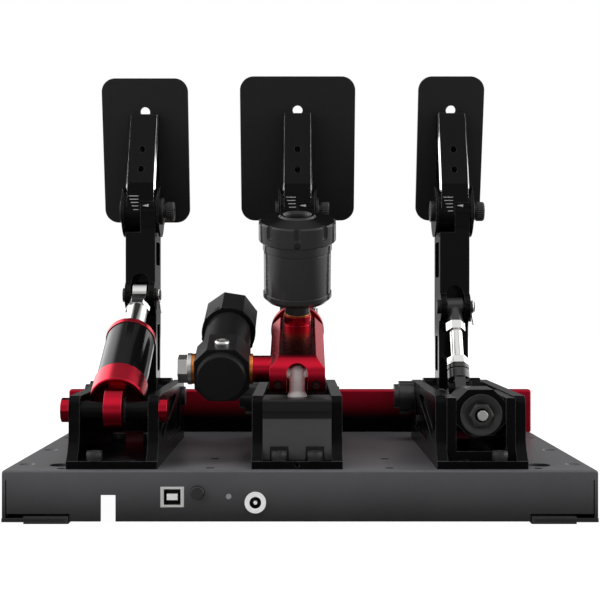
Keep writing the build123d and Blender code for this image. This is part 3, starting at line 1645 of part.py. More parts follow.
# The seat reaches far enough out of the barrel that the prongs stay outside at full travel
prong_start = barrel_length + seat_reach
with BuildPart() as spring_rod:
    with BuildSketch(spring_side):
        with BuildLine():
            Polyline(
                (-knob_nut_height - spring_rod_reach, 0),
                (-knob_nut_height - spring_rod_reach, spring_rod_diameter / 2),
                (seat_start, spring_rod_diameter / 2),
                (seat_start, barrel_bore - seat_clearance),
                (prong_start, barrel_bore - seat_clearance),
                (prong_start, 0),
                close=True,
            )
        make_face()
    revolve(axis=Axis(spring_side.origin, spring_side.x_dir))
    push_y = crank_y - barrel_y
    for side in (-1, 1):
        with BuildSketch(spring_side.offset(side * prong_inner)):
            with Locations(((prong_start + push_y) / 2, 0)):
                Rectangle(push_y - prong_start, prong_height)
            with Locations((push_y, 0)):
                Rectangle(prong_slot + prong_rim + prong_rim, prong_slot_length + prong_rim + prong_rim)
                Rectangle(prong_slot, prong_slot_length, mode=Mode.SUBTRACT)
        extrude(amount=side * prong_thickness)
keep(spring_rod.part, "spring_rod")

keep(
    turned(
        spring_side,
        (knob_thickness, barrel_bore - side_gap - throttle_spring_wall),
        (knob_thickness, barrel_bore - side_gap),
        (seat_start, barrel_bore - side_gap),
        (seat_start, barrel_bore - side_gap - throttle_spring_wall),
    ),
    "throttle_spring",
)

# Throttle crank: two plates on a wide hub, with the link's pin at the nose and the rod's pin above the hub
nose_y = front_y + crank_nose_back
with BuildPart() as throttle_crank:
    for side in (-1, 1):
        with BuildSketch(Plane.YZ.offset(throttle_x + side * crank_gap / 2)):
            with Locations((crank_y, crank_z), (nose_y, crank_nose_z)):
                Circle(crank_radius)
            make_hull()
        extrude(amount=side * crank_plate)
        with BuildSketch(Plane.YZ.offset(throttle_x + side * crank_gap / 2)):
            with Locations((crank_y, crank_z), (crank_y, spring_z)):
                Circle(crank_push_radius)
            make_hull()
        extrude(amount=side * crank_plate)
    with BuildSketch(Plane.YZ.offset(throttle_x)):
        with Locations((crank_y, crank_z)):
            Circle(crank_hub_radius)
    extrude(amount=inner_gap / 2 - side_gap, both=True)
    with BuildSketch(Plane.YZ.offset(throttle_x)):
        with Locations((crank_y, spring_z)):
            Circle(push_pin / 2)
    extrude(amount=prong_inner + prong_thickness + side_gap, both=True)
    with BuildSketch(Plane.YZ.offset(throttle_x)):
        with Locations((nose_y, crank_nose_z)):
            Circle(nose_pin / 2)
    extrude(amount=crank_gap / 2 + crank_plate, both=True)
    with BuildSketch(Plane.YZ.offset(throttle_x)):
        with Locations((crank_y, crank_z)):
            Circle(crank_pin / 2 + run_fit)
    extrude(amount=inner_gap, both=True, mode=Mode.SUBTRACT)
keep(throttle_crank.part, "throttle_crank")

# Throttle link, from the arm's pin down to the crank's nose
throttle_pin_y = front_y + throttle_pin_back
link_run = nose_y - throttle_pin_y
link_climb = crank_nose_z - throttle_pin_z
link_length = hypot(link_run, link_climb)
link_side = side_plane(throttle_x, throttle_pin_y, throttle_pin_z, degrees(atan2(link_climb, link_run)))
socket_start = link_low_nut_start + link_low_nut_height
socket_end = socket_start + link_socket_length
with BuildPart() as link_forks:
    # Upper end on the clevis pin
    with BuildSketch(end_plane(link_side, 0)):
        Circle(link_fork_diameter / 2)
    extrude(amount=link_fork_length)
    with BuildSketch(link_side.offset(-link_fork_width / 2)):
        Circle(link_end_radius)
    extrude(amount=link_fork_width)
    with BuildSketch(link_side):
        Circle(pin_diameter / 2 + run_fit)
    extrude(amount=link_fork_width, both=True, mode=Mode.SUBTRACT)
    # Lower socket with its tongue between the crank's plates
    with BuildSketch(link_side):
        with BuildLine():
            Polyline(
                (socket_start, 0),
                (socket_start, link_low_nut_width / 2 - link_low_nut_chamfer),
                (socket_start + link_socket_groove, link_socket / 2),
                (socket_start + link_groove_back, link_socket / 2),
                (socket_start + link_groove_back, link_socket / 2 - link_socket_groove),
                (socket_start + link_groove_back + link_socket_groove, link_socket / 2),
                (socket_end - link_socket_groove, link_socket / 2),
                (socket_end, link_tongue / 2),
                (socket_end, 0),
                close=True,
            )
        make_face()
    revolve(axis=Axis(link_side.origin, link_side.x_dir))
    with BuildSketch(link_side.offset(-link_tongue / 2)):
        with Locations(((socket_end - link_socket_groove + link_length) / 2, 0)):
            Rectangle(link_length - socket_end + link_socket_groove, link_end_radius + link_end_radius)
        with Locations((link_length, 0)):
            Circle(link_end_radius)
    extrude(amount=link_tongue)
    with BuildSketch(link_side):
        with Locations((link_length, 0)):
            Circle(nose_pin / 2 + open_pivot_gap)
    extrude(amount=link_tongue, both=True, mode=Mode.SUBTRACT)
keep(link_forks.part, "link_forks")

# Turnbuckle rod with its two lock nuts
with BuildPart() as link_turnbuckle:
    with BuildSketch(end_plane(link_side, link_fork_length)):
        Circle(link_rod / 2)
    extrude(amount=socket_start - link_fork_length)
    with BuildSketch(end_plane(link_side, link_fork_length)):
        RegularPolygon(link_nut_width / 2, 6, major_radius=False)
    extrude(amount=link_nut_height)
    with BuildSketch(end_plane(link_side, link_low_nut_start)):
        RegularPolygon(link_low_nut_width / 2, 6, major_radius=False)
    extrude(amount=link_low_nut_height)
keep(link_turnbuckle.part, "link_turnbuckle")
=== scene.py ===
# %% [markdown]
# # A sim racing pedal set, dressed for its portrait
#
# The solids come packed from the CAD file: a folded tray, three pedals and the machinery that
# loads them. This lesson gives them their finishes and adds the small things that a solid leaves
# out, such as scale marks, knurls and coil springs. Lengths are in metres, X runs to the right, Y
# runs towards the driver and Z is up from the floor.

import math

import bmesh
import bpy
import numpy as np
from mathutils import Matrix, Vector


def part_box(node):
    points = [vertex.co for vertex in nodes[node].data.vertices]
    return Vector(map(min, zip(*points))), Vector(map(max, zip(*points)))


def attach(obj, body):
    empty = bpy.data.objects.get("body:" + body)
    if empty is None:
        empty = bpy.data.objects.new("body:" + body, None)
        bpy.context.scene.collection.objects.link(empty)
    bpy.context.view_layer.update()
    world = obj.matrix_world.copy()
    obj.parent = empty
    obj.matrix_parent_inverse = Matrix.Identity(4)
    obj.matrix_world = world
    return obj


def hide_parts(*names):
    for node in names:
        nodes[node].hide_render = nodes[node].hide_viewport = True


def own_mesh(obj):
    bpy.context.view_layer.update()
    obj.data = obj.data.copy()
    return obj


MM = 0.001
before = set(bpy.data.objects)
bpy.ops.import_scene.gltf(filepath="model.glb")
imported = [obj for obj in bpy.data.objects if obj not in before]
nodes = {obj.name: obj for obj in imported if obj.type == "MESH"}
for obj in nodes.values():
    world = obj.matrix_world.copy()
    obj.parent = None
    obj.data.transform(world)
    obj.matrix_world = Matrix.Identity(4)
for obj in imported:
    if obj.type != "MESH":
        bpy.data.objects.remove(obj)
scene = bpy.context.scene
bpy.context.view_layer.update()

# %% [markdown]
# ## The camera
# The photograph looks level along the pedals from the connector side. Equal holes at the two ends
# of the deck give the distance, and the line where the deck would vanish gives the height. A long
# lens keeps the tray's sides from spreading, so the camera stands 620 mm in front of the panel.

# %% Set up the camera
panel_y = -0.145
camera_height = 0.115
camera_distance = 0.620
lens = bpy.data.cameras.new("portrait_lens")
lens.lens = 72.5
lens.sensor_width = 36.0
camera = bpy.data.objects.new("portrait_camera", lens)
camera.location = (0.0, panel_y - camera_distance, camera_height)
camera.rotation_euler = (math.pi / 2, 0.0, 0.0)
scene.collection.objects.link(camera)
scene.camera = camera
scene.view_settings.view_transform = "Standard"
print("camera at", tuple(camera.location))


# %% [markdown]
# ## Nodes in a few words
# Every finish below is a small node tree. One helper adds a node with its values and links, one
# makes a reusable group with named sockets, and the others stand for the few kinds of node that
# come back all the time.

# %% Helpers for node trees
def add(tree, kind, at=(0, 0), **values):
    """Adds a node; keyword values go to its properties, or to inputs named with a leading 'in_'.

    An input is named by its label, with _ for a space, or by its number.
    """
    node = tree.nodes.new(kind)
    node.location = at
    for key, value in values.items():
        if not key.startswith("in_"):
            setattr(node, key, value)
            continue
        name = key[3:].replace("_", " ")
        socket = node.inputs[int(name)] if name.isdigit() else node.inputs[name]
        if isinstance(value, bpy.types.NodeSocket):
            tree.links.new(value, socket)
        else:
            socket.default_value = value
    return node


def make_group(name, inputs, outputs):
    """Makes an empty shader group; inputs are (name, type, default), outputs are (name, type)."""
    group = bpy.data.node_groups.new(name, "ShaderNodeTree")
    for label, kind, default in inputs:
        socket = group.interface.new_socket(label, in_out="INPUT", socket_type=kind)
        socket.default_value = default
    for label, kind in outputs:
        group.interface.new_socket(label, in_out="OUTPUT", socket_type=kind)
    way_in = add(group, "NodeGroupInput", (-900, 0))
    way_out = add(group, "NodeGroupOutput", (600, 0))
    return group, way_in, way_out


def maths(tree, kind, a, b, at=(0, 0), c=None):
    """One Math node with two or three inputs."""
    third = {} if c is None else {"in_2": c}
    return add(tree, "ShaderNodeMath", at, operation=kind, in_0=a, in_1=b, **third).outputs[0]


def ramp(tree, value, low, high, from_value, to_value, at, smooth=True):
    """A step from from_value, while the value is at low, to to_value, once it is at high."""
    step = add(
        tree, "ShaderNodeMapRange", at, interpolation_type="SMOOTHSTEP" if smooth else "LINEAR",
        in_Value=value, in_From_Min=low, in_From_Max=high, in_To_Min=from_value, in_To_Max=to_value,
    )
    return step.outputs[0]


def mix_colours(tree, share, first, second, at):
    """Goes from the first colour to the second by a share."""
    mix = add(
        tree, "ShaderNodeMix", at, data_type="RGBA", in_Factor=share, in_6=first, in_7=second
    )
    return mix.outputs[2]


def object_place(tree, at):
    """X, Y and Z of the point, in the room's own lengths, as every piece is built in its place."""
    place = add(tree, "ShaderNodeTexCoord", (at[0] - 200, at[1])).outputs["Object"]
    return add(tree, "ShaderNodeSeparateXYZ", at, in_0=place).outputs


def facing(tree, at):
    """X, Y and Z of the normal of the face itself, with no smoothing."""
    normal = add(tree, "ShaderNodeNewGeometry", (at[0] - 200, at[1])).outputs["True Normal"]
    return add(tree, "ShaderNodeSeparateXYZ", at, in_0=normal).outputs


# %% [markdown]
# ## Light
# The set stands in a white studio, so bright metal and the rims of black parts shine white. For
# glossy rays the studio is a set of bands by elevation. It is white at the sides and overhead, with
# a dim strip low down straight behind and one dark gap above it, which keeps the sloped tops deep,
# and greyer on the camera's side. The fill on matte surfaces is low.

# %% Build the studio's surroundings
white = (1.0, 1.0, 1.0, 1.0)
world = bpy.data.worlds.new("white_studio")
scene.world = world
world.use_nodes = True
sky = world.node_tree
sky.nodes.clear()
ray = add(sky, "ShaderNodeLightPath", (-900, 300)).outputs
look = add(sky, "ShaderNodeTexCoord", (-1100, -100)).outputs["Generated"]
heading = add(sky, "ShaderNodeSeparateXYZ", (-900, -100), in_0=look).outputs
beside = ramp(sky, heading["Y"], -0.50, 0.0, 0.0, 1.0, (-700, -100))
height = maths(sky, "MULTIPLY_ADD", heading["Z"], 0.5, (-700, -350), c=0.5)


def bands(at, *stops):
    """Grey by elevation: stops are (sine of the elevation, grey)."""
    node = add(sky, "ShaderNodeValToRGB", at, in_Fac=height)
    while len(node.color_ramp.elements) < len(stops):
        node.color_ramp.elements.new(0.5)
    for stop, (sine, grey) in zip(node.color_ramp.elements, stops):
        stop.position = sine * 0.5 + 0.5
        stop.color = (grey, grey, grey, 1.0)
    return node.outputs["Color"]


outward = maths(sky, "ABSOLUTE", heading["X"], 0.0, (-900, -900))
aside = ramp(sky, outward, 0.26, 0.50, 0.0, 1.0, (-700, -900))
front_middle = bands(
    (-700, -500),
    (-1.0, 0.12), (-0.12, 0.50), (0.12, 0.50), (0.25, 0.24), (0.48, 0.45), (0.62, 0.95), (1.0, 0.9),
)
front_sides = bands(
    (-700, -1100), (-1.0, 0.15), (-0.15, 0.60), (0.30, 0.85), (0.6, 0.60), (1.0, 0.9)
)
back_middle = bands(
    (-700, -1300),
    (-1.0, 0.5), (0.0, 0.24), (0.14, 0.24), (0.26, 0.45), (0.36, 0.12), (0.44, 0.02),
    (0.72, 0.02), (0.84, 0.32), (1.0, 0.6),
)
back_sides = bands(
    (-700, -1500), (-1.0, 0.7), (0.0, 0.6), (0.12, 0.6), (0.22, 1.0), (0.6, 1.0), (1.0, 0.9)
)
front = mix_colours(sky, aside, front_middle, front_sides, (-450, -700))
back = mix_colours(sky, aside, back_middle, back_sides, (-450, -1300))
mirrored = mix_colours(sky, beside, front, back, (-300, -900))

# Broad glows behind on both sides, each as (X where it starts, X where it is full, strength)
for start, full, strength in ((-0.30, -0.50, 1.5), (0.40, 0.62, 1.8)):
    glow = ramp(sky, heading["X"], start, full, 0.0, strength, (-700, -1900))
    behind = maths(sky, "MULTIPLY", glow, beside, (-500, -1900))
    mirrored = maths(sky, "ADD", mirrored, behind, (-150, -900))
# A tall bright strip at the far right
strip = ramp(sky, heading["X"], 0.86, 0.95, 0.0, 1.6, (-700, -1700))
mirrored = maths(sky, "ADD", mirrored, strip, (0, -900))

fill_level = 0.16
seen = maths(sky, "MAXIMUM", ray["Is Camera Ray"], ray["Is Transmission Ray"], (-700, 200))
glossy = ray["Is Glossy Ray"]
plain = maths(sky, "MULTIPLY", mirrored, glossy, (-300, -100))
not_glossy = maths(sky, "SUBTRACT", 1.0, glossy, (-500, 50))
matte = maths(sky, "MULTIPLY", not_glossy, fill_level, (-300, 50))
level = maths(sky, "MAXIMUM", maths(sky, "ADD", plain, matte, (-150, 0)), seen, (0, 100))
shine = add(sky, "ShaderNodeBackground", (200, 0), in_Color=white, in_Strength=level)
add(sky, "ShaderNodeOutputWorld", (400, 0), in_Surface=shine.outputs[0])


# %% Hang the lamps
def soft_box(name, place, aim, size, power):
    """A rectangular area lamp at place that points at aim; power is in watts."""
    lamp = bpy.data.lights.new(name, "AREA")
    lamp.shape = "RECTANGLE"
    lamp.size, lamp.size_y = size
    lamp.energy = power
    holder = bpy.data.objects.new(name, lamp)
    holder.location = place
    way = np.array(place) - np.array(aim)
    tilt = math.atan2(math.hypot(way[0], way[1]), way[2])
    holder.rotation_euler = (tilt, 0.0, math.atan2(way[0], -way[1]))
    # Reflections come from the world's bands alone
    holder.visible_glossy = False
    scene.collection.objects.link(holder)


soft_box("top_box", (0.0, -0.25, 0.95), (0.0, -0.05, 0.1), (0.9, 0.5), 7.0)
soft_box("left_box", (-0.7, -0.45, 0.45), (-0.05, -0.1, 0.1), (0.3, 0.6), 3.0)
soft_box("right_box", (0.9, -0.35, 0.35), (0.0, 0.0, 0.1), (0.3, 0.6), 2.0)
print("lamps hung")

# %% [markdown]
# ## The floor
# A white sweep would need a lot of light to read as white. Instead the floor itself shines for the
# rays that the camera sees, a little less near the tray, where the rest comes from its white paint
# and keeps a faint shadow. For every other ray it is plain paint. What the glossy parts see of it
# is painted: a painted shadow keeps it dim in front of the tray, and it is bright elsewhere.

# %% Lay the floor
floor_half = 3.0
floor_z = -0.0002
floor_mesh = bpy.data.meshes.new("studio_floor")
signs = ((-1, -1), (1, -1), (1, 1), (-1, 1))
corners = [(x * floor_half, y * floor_half, floor_z) for x, y in signs]
floor_mesh.from_pydata(corners, [], [(0, 1, 2, 3)])
floor = bpy.data.objects.new("studio_floor", floor_mesh)
scene.collection.objects.link(floor)
floor_paint = bpy.data.materials.new("studio_white")
floor_paint.use_nodes = True
tree = floor_paint.node_tree
tree.nodes.clear()
ray = add(tree, "ShaderNodeLightPath", (-600, 200)).outputs
paint = add(tree, "ShaderNodeBsdfDiffuse", (-400, 0), in_Color=(0.85, 0.85, 0.85, 1.0)).outputs[0]

# What the camera sees
glow = add(tree, "ShaderNodeEmission", (-400, -150), in_Color=white, in_Strength=1.22).outputs[0]
centre = add(tree, "ShaderNodeTexCoord", (-1100, -100)).outputs["Object"]
from_tray = add(tree, "ShaderNodeVectorMath", (-900, -100), operation="LENGTH", in_0=centre)
far = ramp(tree, from_tray.outputs["Value"], 0.22, 0.42, 0.80, 1.0, (-700, -100))
sweep = add(tree, "ShaderNodeMixShader", (-200, -80), in_Fac=far, in_1=paint, in_2=glow)

# What glossy parts see: painted shade on the floor in front of the tray, and bright floor behind
# and aside
spot = object_place(tree, (-900, -400))
front = ramp(tree, spot["Y"], panel_y, -0.55, 0.02, 0.30, (-700, -350), smooth=False)
behind = ramp(tree, spot["Y"], 0.05, 0.4, 0.0, 1.0, (-700, -600))
outward = maths(tree, "ABSOLUTE", spot["X"], 0.0, (-900, -800))
aside = ramp(tree, outward, 0.18, 0.6, 0.0, 1.0, (-700, -850))
level = maths(tree, "MAXIMUM", front, behind, (-500, -500))
level = maths(tree, "MAXIMUM", level, aside, (-350, -500))
painted_shade_floor_glow = add(tree, "ShaderNodeEmission", (-200, -300), in_Color=white, in_Strength=level).outputs[0]
floor_seen_in_gloss = add(
    tree, "ShaderNodeMixShader", (0, -100), in_Fac=ray["Is Glossy Ray"], in_1=paint, in_2=painted_shade_floor_glow
)

seen = maths(tree, "MAXIMUM", ray["Is Camera Ray"], ray["Is Transmission Ray"], (-400, 200))
choice = add(
    tree, "ShaderNodeMixShader", (200, 0), in_Fac=seen,
    in_1=floor_seen_in_gloss.outputs[0], in_2=sweep.outputs[0],
)
add(tree, "ShaderNodeOutputMaterial", (400, 0), in_Surface=choice.outputs[0])
floor_mesh.materials.append(floor_paint)


# %% [markdown]
# ## Effects that several finishes share
# Powder coat, anodised aluminium and moulded plastic all show a fine grain, only at different
# sizes, so the grain is one group. A real edge is never quite sharp and catches the light, and it
# is the first place to lose its colour. The Bevel node finds the edges of any solid, without a
# change to its mesh, so one group gives the rounded normal and a mask of the edges. The paler
# colour laid on that mask is partly wear and partly a painted highlight.

# %% Fine grain
def noise(tree, scale, detail, roughness, at):
    """Soft noise on the object's own coordinates; scale is in blobs per metre."""
    place = add(tree, "ShaderNodeTexCoord", (at[0] - 300, at[1])).outputs["Object"]
    node = add(
        tree, "ShaderNodeTexNoise", at, in_Vector=place, in_Scale=scale, in_Detail=detail,
        in_Roughness=roughness,
    )
    return node.outputs["Fac"]


grain, way_in, way_out = make_group(
    "fine_grain",
    [("Size", "NodeSocketFloat", 900.0), ("Cloud", "NodeSocketFloat", 25.0)],
    [("Height", "NodeSocketFloat"), ("Tone", "NodeSocketFloat")],
)
speck = noise(grain, way_in.outputs["Size"], 3.0, 0.6, (-600, 100))
cloud = noise(grain, way_in.outputs["Cloud"], 4.0, 0.55, (-600, -200))
tone = maths(grain, "MULTIPLY_ADD", cloud, 0.7, (-300, -200), c=0.15)
tone = maths(grain, "MULTIPLY_ADD", speck, 0.3, (-100, -200), c=tone)
grain.links.new(speck, way_out.inputs["Height"])
grain.links.new(tone, way_out.inputs["Tone"])

# %% Soft edges, where they are worn and where a highlight is painted on them
edges, way_in, way_out = make_group(
    "worn_and_highlit_edges",
    [("Radius", "NodeSocketFloat", 0.0004), ("Breakup", "NodeSocketFloat", 180.0)],
    [("Normal", "NodeSocketVector"), ("Wear_and_highlight", "NodeSocketFloat")],
)
bevel = add(edges, "ShaderNodeBevel", (-600, 100), samples=6, in_Radius=way_in.outputs["Radius"])
rounded = bevel.outputs[0]
flat = add(edges, "ShaderNodeNewGeometry", (-600, -150)).outputs["Normal"]
likeness = add(
    edges, "ShaderNodeVectorMath", (-400, 0), operation="DOT_PRODUCT", in_0=rounded, in_1=flat
)
turn = ramp(edges, likeness.outputs["Value"], 0.99, 0.85, 0.0, 1.0, (-200, 0), smooth=False)
patches = noise(edges, way_in.outputs["Breakup"], 5.0, 0.65, (-600, -350))
broken = ramp(edges, patches, 0.25, 0.55, 0.0, 1.0, (-200, -300), smooth=False)
edges.links.new(rounded, way_out.inputs["Normal"])
edges.links.new(maths(edges, "MULTIPLY", turn, broken, (100, -100)), way_out.inputs["Wear_and_highlight"])
print("groups:", [group.name for group in bpy.data.node_groups])


# %% [markdown]
# ## Finishes
# One maker's recipe serves every coated or machined part: a colour with a slow drift in tone,
# grain in the normal, and paler edges, partly worn and partly a painted highlight. Each finish
# only changes the numbers, which is how a set made in one workshop looks.

# %% The recipe
def coated(name, colour, worn_and_highlit, rough, grain_size, grain_depth, metal=0.0, drift=0.25, wear_and_highlight=0.4,
           level=0.5, shade=None):
    """A coated or machined finish.

    The third argument is the colour of an edge, partly rubbed wear and partly a painted highlight;
    grain_size is in specks per metre and grain_depth in metres. metal, drift, the edge colour's
    share and level, the strength of the sheen, are shares. shade(tree) may give a socket with a
    factor of painted shade for the colour.
    """
    material = bpy.data.materials.new(name)
    material.use_nodes = True
    tree = material.node_tree
    shader = tree.nodes["Principled BSDF"]
    shader.inputs["Metallic"].default_value = metal
    shader.inputs["Specular IOR Level"].default_value = level
    fine = add(tree, "ShaderNodeGroup", (-900, 0), node_tree=grain, in_Size=grain_size)
    edge = add(tree, "ShaderNodeGroup", (-900, -250), node_tree=edges)
    dark = (*(channel * (1.0 - drift) for channel in colour), 1.0)
    light = (*(channel * (1.0 + drift) for channel in colour), 1.0)
    toned = mix_colours(tree, fine.outputs["Tone"], dark, light, (-600, 100))
    # Paler edges: partly rubbed wear and partly a painted highlight
    share = maths(tree, "MULTIPLY", edge.outputs["Wear_and_highlight"], wear_and_highlight, (-600, -150))
    shown = mix_colours(tree, share, toned, (*worn_and_highlit, 1.0), (-350, 50))
    # A shade, where given, is painted shade multiplied into the colour
    if shade is not None:
        shaded = add(
            tree, "ShaderNodeVectorMath", (-150, 100), operation="SCALE", in_0=shown,
            in_Scale=shade(tree),
        )
        shown = shaded.outputs[0]
    tree.links.new(shown, shader.inputs["Base Color"])
    tone = fine.outputs["Tone"]
    roughness = maths(tree, "MULTIPLY_ADD", tone, rough * 0.5, (-350, -150), c=rough * 0.75)
    tree.links.new(roughness, shader.inputs["Roughness"])
    bump = add(
        tree, "ShaderNodeBump", (-350, -350), in_Strength=1.0, in_Distance=grain_depth,
        in_Height=fine.outputs["Height"], in_Normal=edge.outputs["Normal"],
    )
    tree.links.new(bump.outputs[0], shader.inputs["Normal"])
    return material


# %% [markdown]
# Some colours change with place or facing, and all of these changes are painted shade. Shadow
# gathers low down, so the tray's panels are painted darker towards their feet, and the heel plate's
# wall is painted nearly black where the modules hide it, but clear at its top bend and at both
# ends. The brake block's bevel is painted darker than its face. Faces that look up are painted
# deeper, as they would see a dark ceiling.

# %% Shades by height and by facing
def along(tree, axis, low, high, from_value, to_value, at):
    """A smooth step of one coordinate of place; X counts from the middle to either side."""
    coordinate = object_place(tree, (at[0] - 200, at[1]))[axis]
    if axis == "X":
        coordinate = maths(tree, "ABSOLUTE", coordinate, 0.0, (at[0] - 100, at[1]))
    return ramp(tree, coordinate, low, high, from_value, to_value, at)


def upward(tree, low, high, to_value):
    """1 on every face whose normal's Z is below low, and to_value once it is above high."""
    return ramp(tree, facing(tree, (-700, 400))["Z"], low, high, 1.0, to_value, (-500, 400))


def panel_shade(tree):
    """Painted shade: paler at the top of the panels, 27 mm up, and darker at their feet."""
    return along(tree, "Z", -0.004, 0.030, 0.30, 1.75, (-500, 400))


def wall_shade(tree):
    """Painted shade: dark below 50 mm on the wall that faces the modules, except near the tray's
    sides.
    """
    low = along(tree, "Z", 0.036, 0.0535, 0.0, 1.0, (-500, 400))
    slope = along(tree, "Y", 0.0405, 0.0440, 0.0, 1.0, (-500, 650))
    ends = along(tree, "X", 0.118, 0.135, 0.0, 0.8, (-500, 900))
    clear = maths(tree, "MAXIMUM", low, slope, (-300, 500))
    return maths(tree, "MAXIMUM", clear, ends, (-200, 600))


def block_shade(tree):
    """Painted shade: the brake block's face is paler than the bevel above it."""
    return along(tree, "Z", 0.0525, 0.0535, 1.0, 0.15, (-500, 400))


def top_shade(tree):
    """Painted shade: deep red on the faces that look straight up."""
    return upward(tree, 0.90, 0.94, 0.22)


def cap_shade(tree):
    """Painted shade: nearly black on the faces that look more up than aside."""
    return upward(tree, 0.45, 0.75, 0.12)


# %% [markdown]
# The tray is folded steel under a fine satin powder coat, the modules are bead blasted and
# anodised black, and the pads have a sandpaper-like grip coat. Black parts only look black when
# their colour is a few percent or less, and the rest of what shows on them is reflection.

# %% Black coats
tray_powder = coated(
    "tray_powder", (0.046, 0.046, 0.0485), (0.10, 0.10, 0.10), rough=0.34,
    grain_size=1500.0, grain_depth=20e-6, wear_and_highlight=0.2, level=0.3, shade=panel_shade,
)
module_black = coated(
    "module_black", (0.0022, 0.0022, 0.0026), (0.14, 0.14, 0.145), rough=0.24,
    grain_size=2600.0, grain_depth=10e-6, wear_and_highlight=0.8, level=0.07,
)
block_black = coated(
    "block_black", (0.056, 0.056, 0.057), (0.12, 0.12, 0.12), rough=0.36,
    grain_size=1500.0, grain_depth=40e-6, wear_and_highlight=0.3, level=0.2, shade=block_shade,
)
arm_black = coated(
    "arm_black", (0.003, 0.003, 0.0034), (0.12, 0.12, 0.13), rough=0.15,
    grain_size=2600.0, grain_depth=4e-6, wear_and_highlight=0.6, level=0.10,
)
pad_grit = coated(
    "pad_grit", (0.008, 0.008, 0.0085), (0.04, 0.04, 0.04), rough=0.60,
    grain_size=3200.0, grain_depth=50e-6, wear_and_highlight=0.15, drift=0.3, level=0.3,
)
tube_gloss = coated(
    "tube_gloss", (0.004, 0.004, 0.0045), (0.05, 0.05, 0.05), rough=0.10,
    grain_size=900.0, grain_depth=2e-6, wear_and_highlight=0.1, level=0.16,
)
moulded_black = coated(
    "moulded_black", (0.027, 0.027, 0.0275), (0.05, 0.05, 0.05), rough=0.17,
    grain_size=1800.0, grain_depth=8e-6, wear_and_highlight=0.1,
)
cap_black = coated(
    "cap_black", (0.030, 0.030, 0.0305), (0.06, 0.06, 0.06), rough=0.14,
    grain_size=1800.0, grain_depth=8e-6, wear_and_highlight=0.1, level=0.22, shade=cap_shade,
)
pressure_black = coated(
    "pressure_black", (0.008, 0.008, 0.0085), (0.06, 0.06, 0.06), rough=0.36,
    grain_size=2400.0, grain_depth=8e-6, wear_and_highlight=0.2, level=0.16,
)
screw_black = coated(
    "screw_black", (0.030, 0.030, 0.0305), (0.30, 0.29, 0.28), rough=0.30,
    grain_size=1200.0, grain_depth=10e-6, metal=0.4, wear_and_highlight=0.4, level=0.3,
)

# %% [markdown]
# Anodised aluminium keeps the metal's mirror under a dyed film, so the colour tints the
# reflections. The heel plate is a deeper red on bent sheet, a little more matt.

# %% Red anodised aluminium
red_machined = coated(
    "red_machined", (0.60, 0.012, 0.035), (0.95, 0.25, 0.25), rough=0.26,
    grain_size=2200.0, grain_depth=6e-6, metal=1.0, drift=0.08, wear_and_highlight=0.25, shade=top_shade,
)
red_sheet = coated(
    "red_sheet", (0.45, 0.008, 0.03), (0.9, 0.15, 0.2), rough=0.38,
    grain_size=1600.0, grain_depth=10e-6, metal=0.9, drift=0.1, wear_and_highlight=0.3, shade=wall_shade,
)

# %% Bare metals
steel_bright = coated(
    "steel_bright", (0.78, 0.78, 0.77), (0.9, 0.9, 0.9), rough=0.14,
    grain_size=1400.0, grain_depth=3e-6, metal=1.0, drift=0.06, wear_and_highlight=0.2,
)
post_satin = coated(
    "post_satin", (0.97, 0.97, 0.95), (0.95, 0.94, 0.92), rough=0.48,
    grain_size=1200.0, grain_depth=6e-6, drift=0.06, wear_and_highlight=0.2,
)
steel_satin = coated(
    "steel_satin", (0.70, 0.69, 0.67), (0.85, 0.84, 0.82), rough=0.30,
    grain_size=1200.0, grain_depth=8e-6, metal=1.0, drift=0.1, wear_and_highlight=0.3,
)
copper_ring = coated(
    "copper_ring", (0.75, 0.24, 0.06), (0.95, 0.55, 0.3), rough=0.30,
    grain_size=1400.0, grain_depth=6e-6, metal=1.0, drift=0.15, wear_and_highlight=0.3,
)
socket_shell = coated(
    "socket_shell", (0.72, 0.72, 0.70), (0.85, 0.85, 0.84), rough=0.22,
    grain_size=1500.0, grain_depth=3e-6, metal=0.35, drift=0.05, wear_and_highlight=0.2,
)

# %% Rubber and plastics
foot_rubber = coated(
    "foot_rubber", (0.025, 0.025, 0.026), (0.06, 0.06, 0.06), rough=0.75,
    grain_size=900.0, grain_depth=50e-6, wear_and_highlight=0.3,
)
ring_white = coated(
    "ring_white", (0.85, 0.85, 0.84), (0.9, 0.9, 0.9), rough=0.35,
    grain_size=900.0, grain_depth=6e-6, drift=0.04, wear_and_highlight=0.2,
)
lens_grey = coated(
    "lens_grey", (0.25, 0.25, 0.27), (0.3, 0.3, 0.3), rough=0.2,
    grain_size=900.0, grain_depth=2e-6, drift=0.1, wear_and_highlight=0.1,
)
board_green = coated(
    "board_green", (0.02, 0.12, 0.05), (0.05, 0.2, 0.1), rough=0.35,
    grain_size=700.0, grain_depth=20e-6, drift=0.2, wear_and_highlight=0.2,
)
stack_orange = coated(
    "stack_orange", (0.45, 0.10, 0.03), (0.5, 0.2, 0.1), rough=0.5,
    grain_size=900.0, grain_depth=30e-6, drift=0.15, wear_and_highlight=0.2,
)
mark_white = coated(
    "mark_white", (0.36, 0.36, 0.35), (0.6, 0.6, 0.6), rough=0.5,
    grain_size=900.0, grain_depth=2e-6, drift=0.1, wear_and_highlight=0.1,
)
print("finishes:", len(bpy.data.materials))


# %% [markdown]
# The two sockets are made of several plastics. Their mouths are painted black inside, as painted
# shade in the openings; the data socket has a pale tongue and the power socket a bright pin. A zone
# picks each one out by its place.

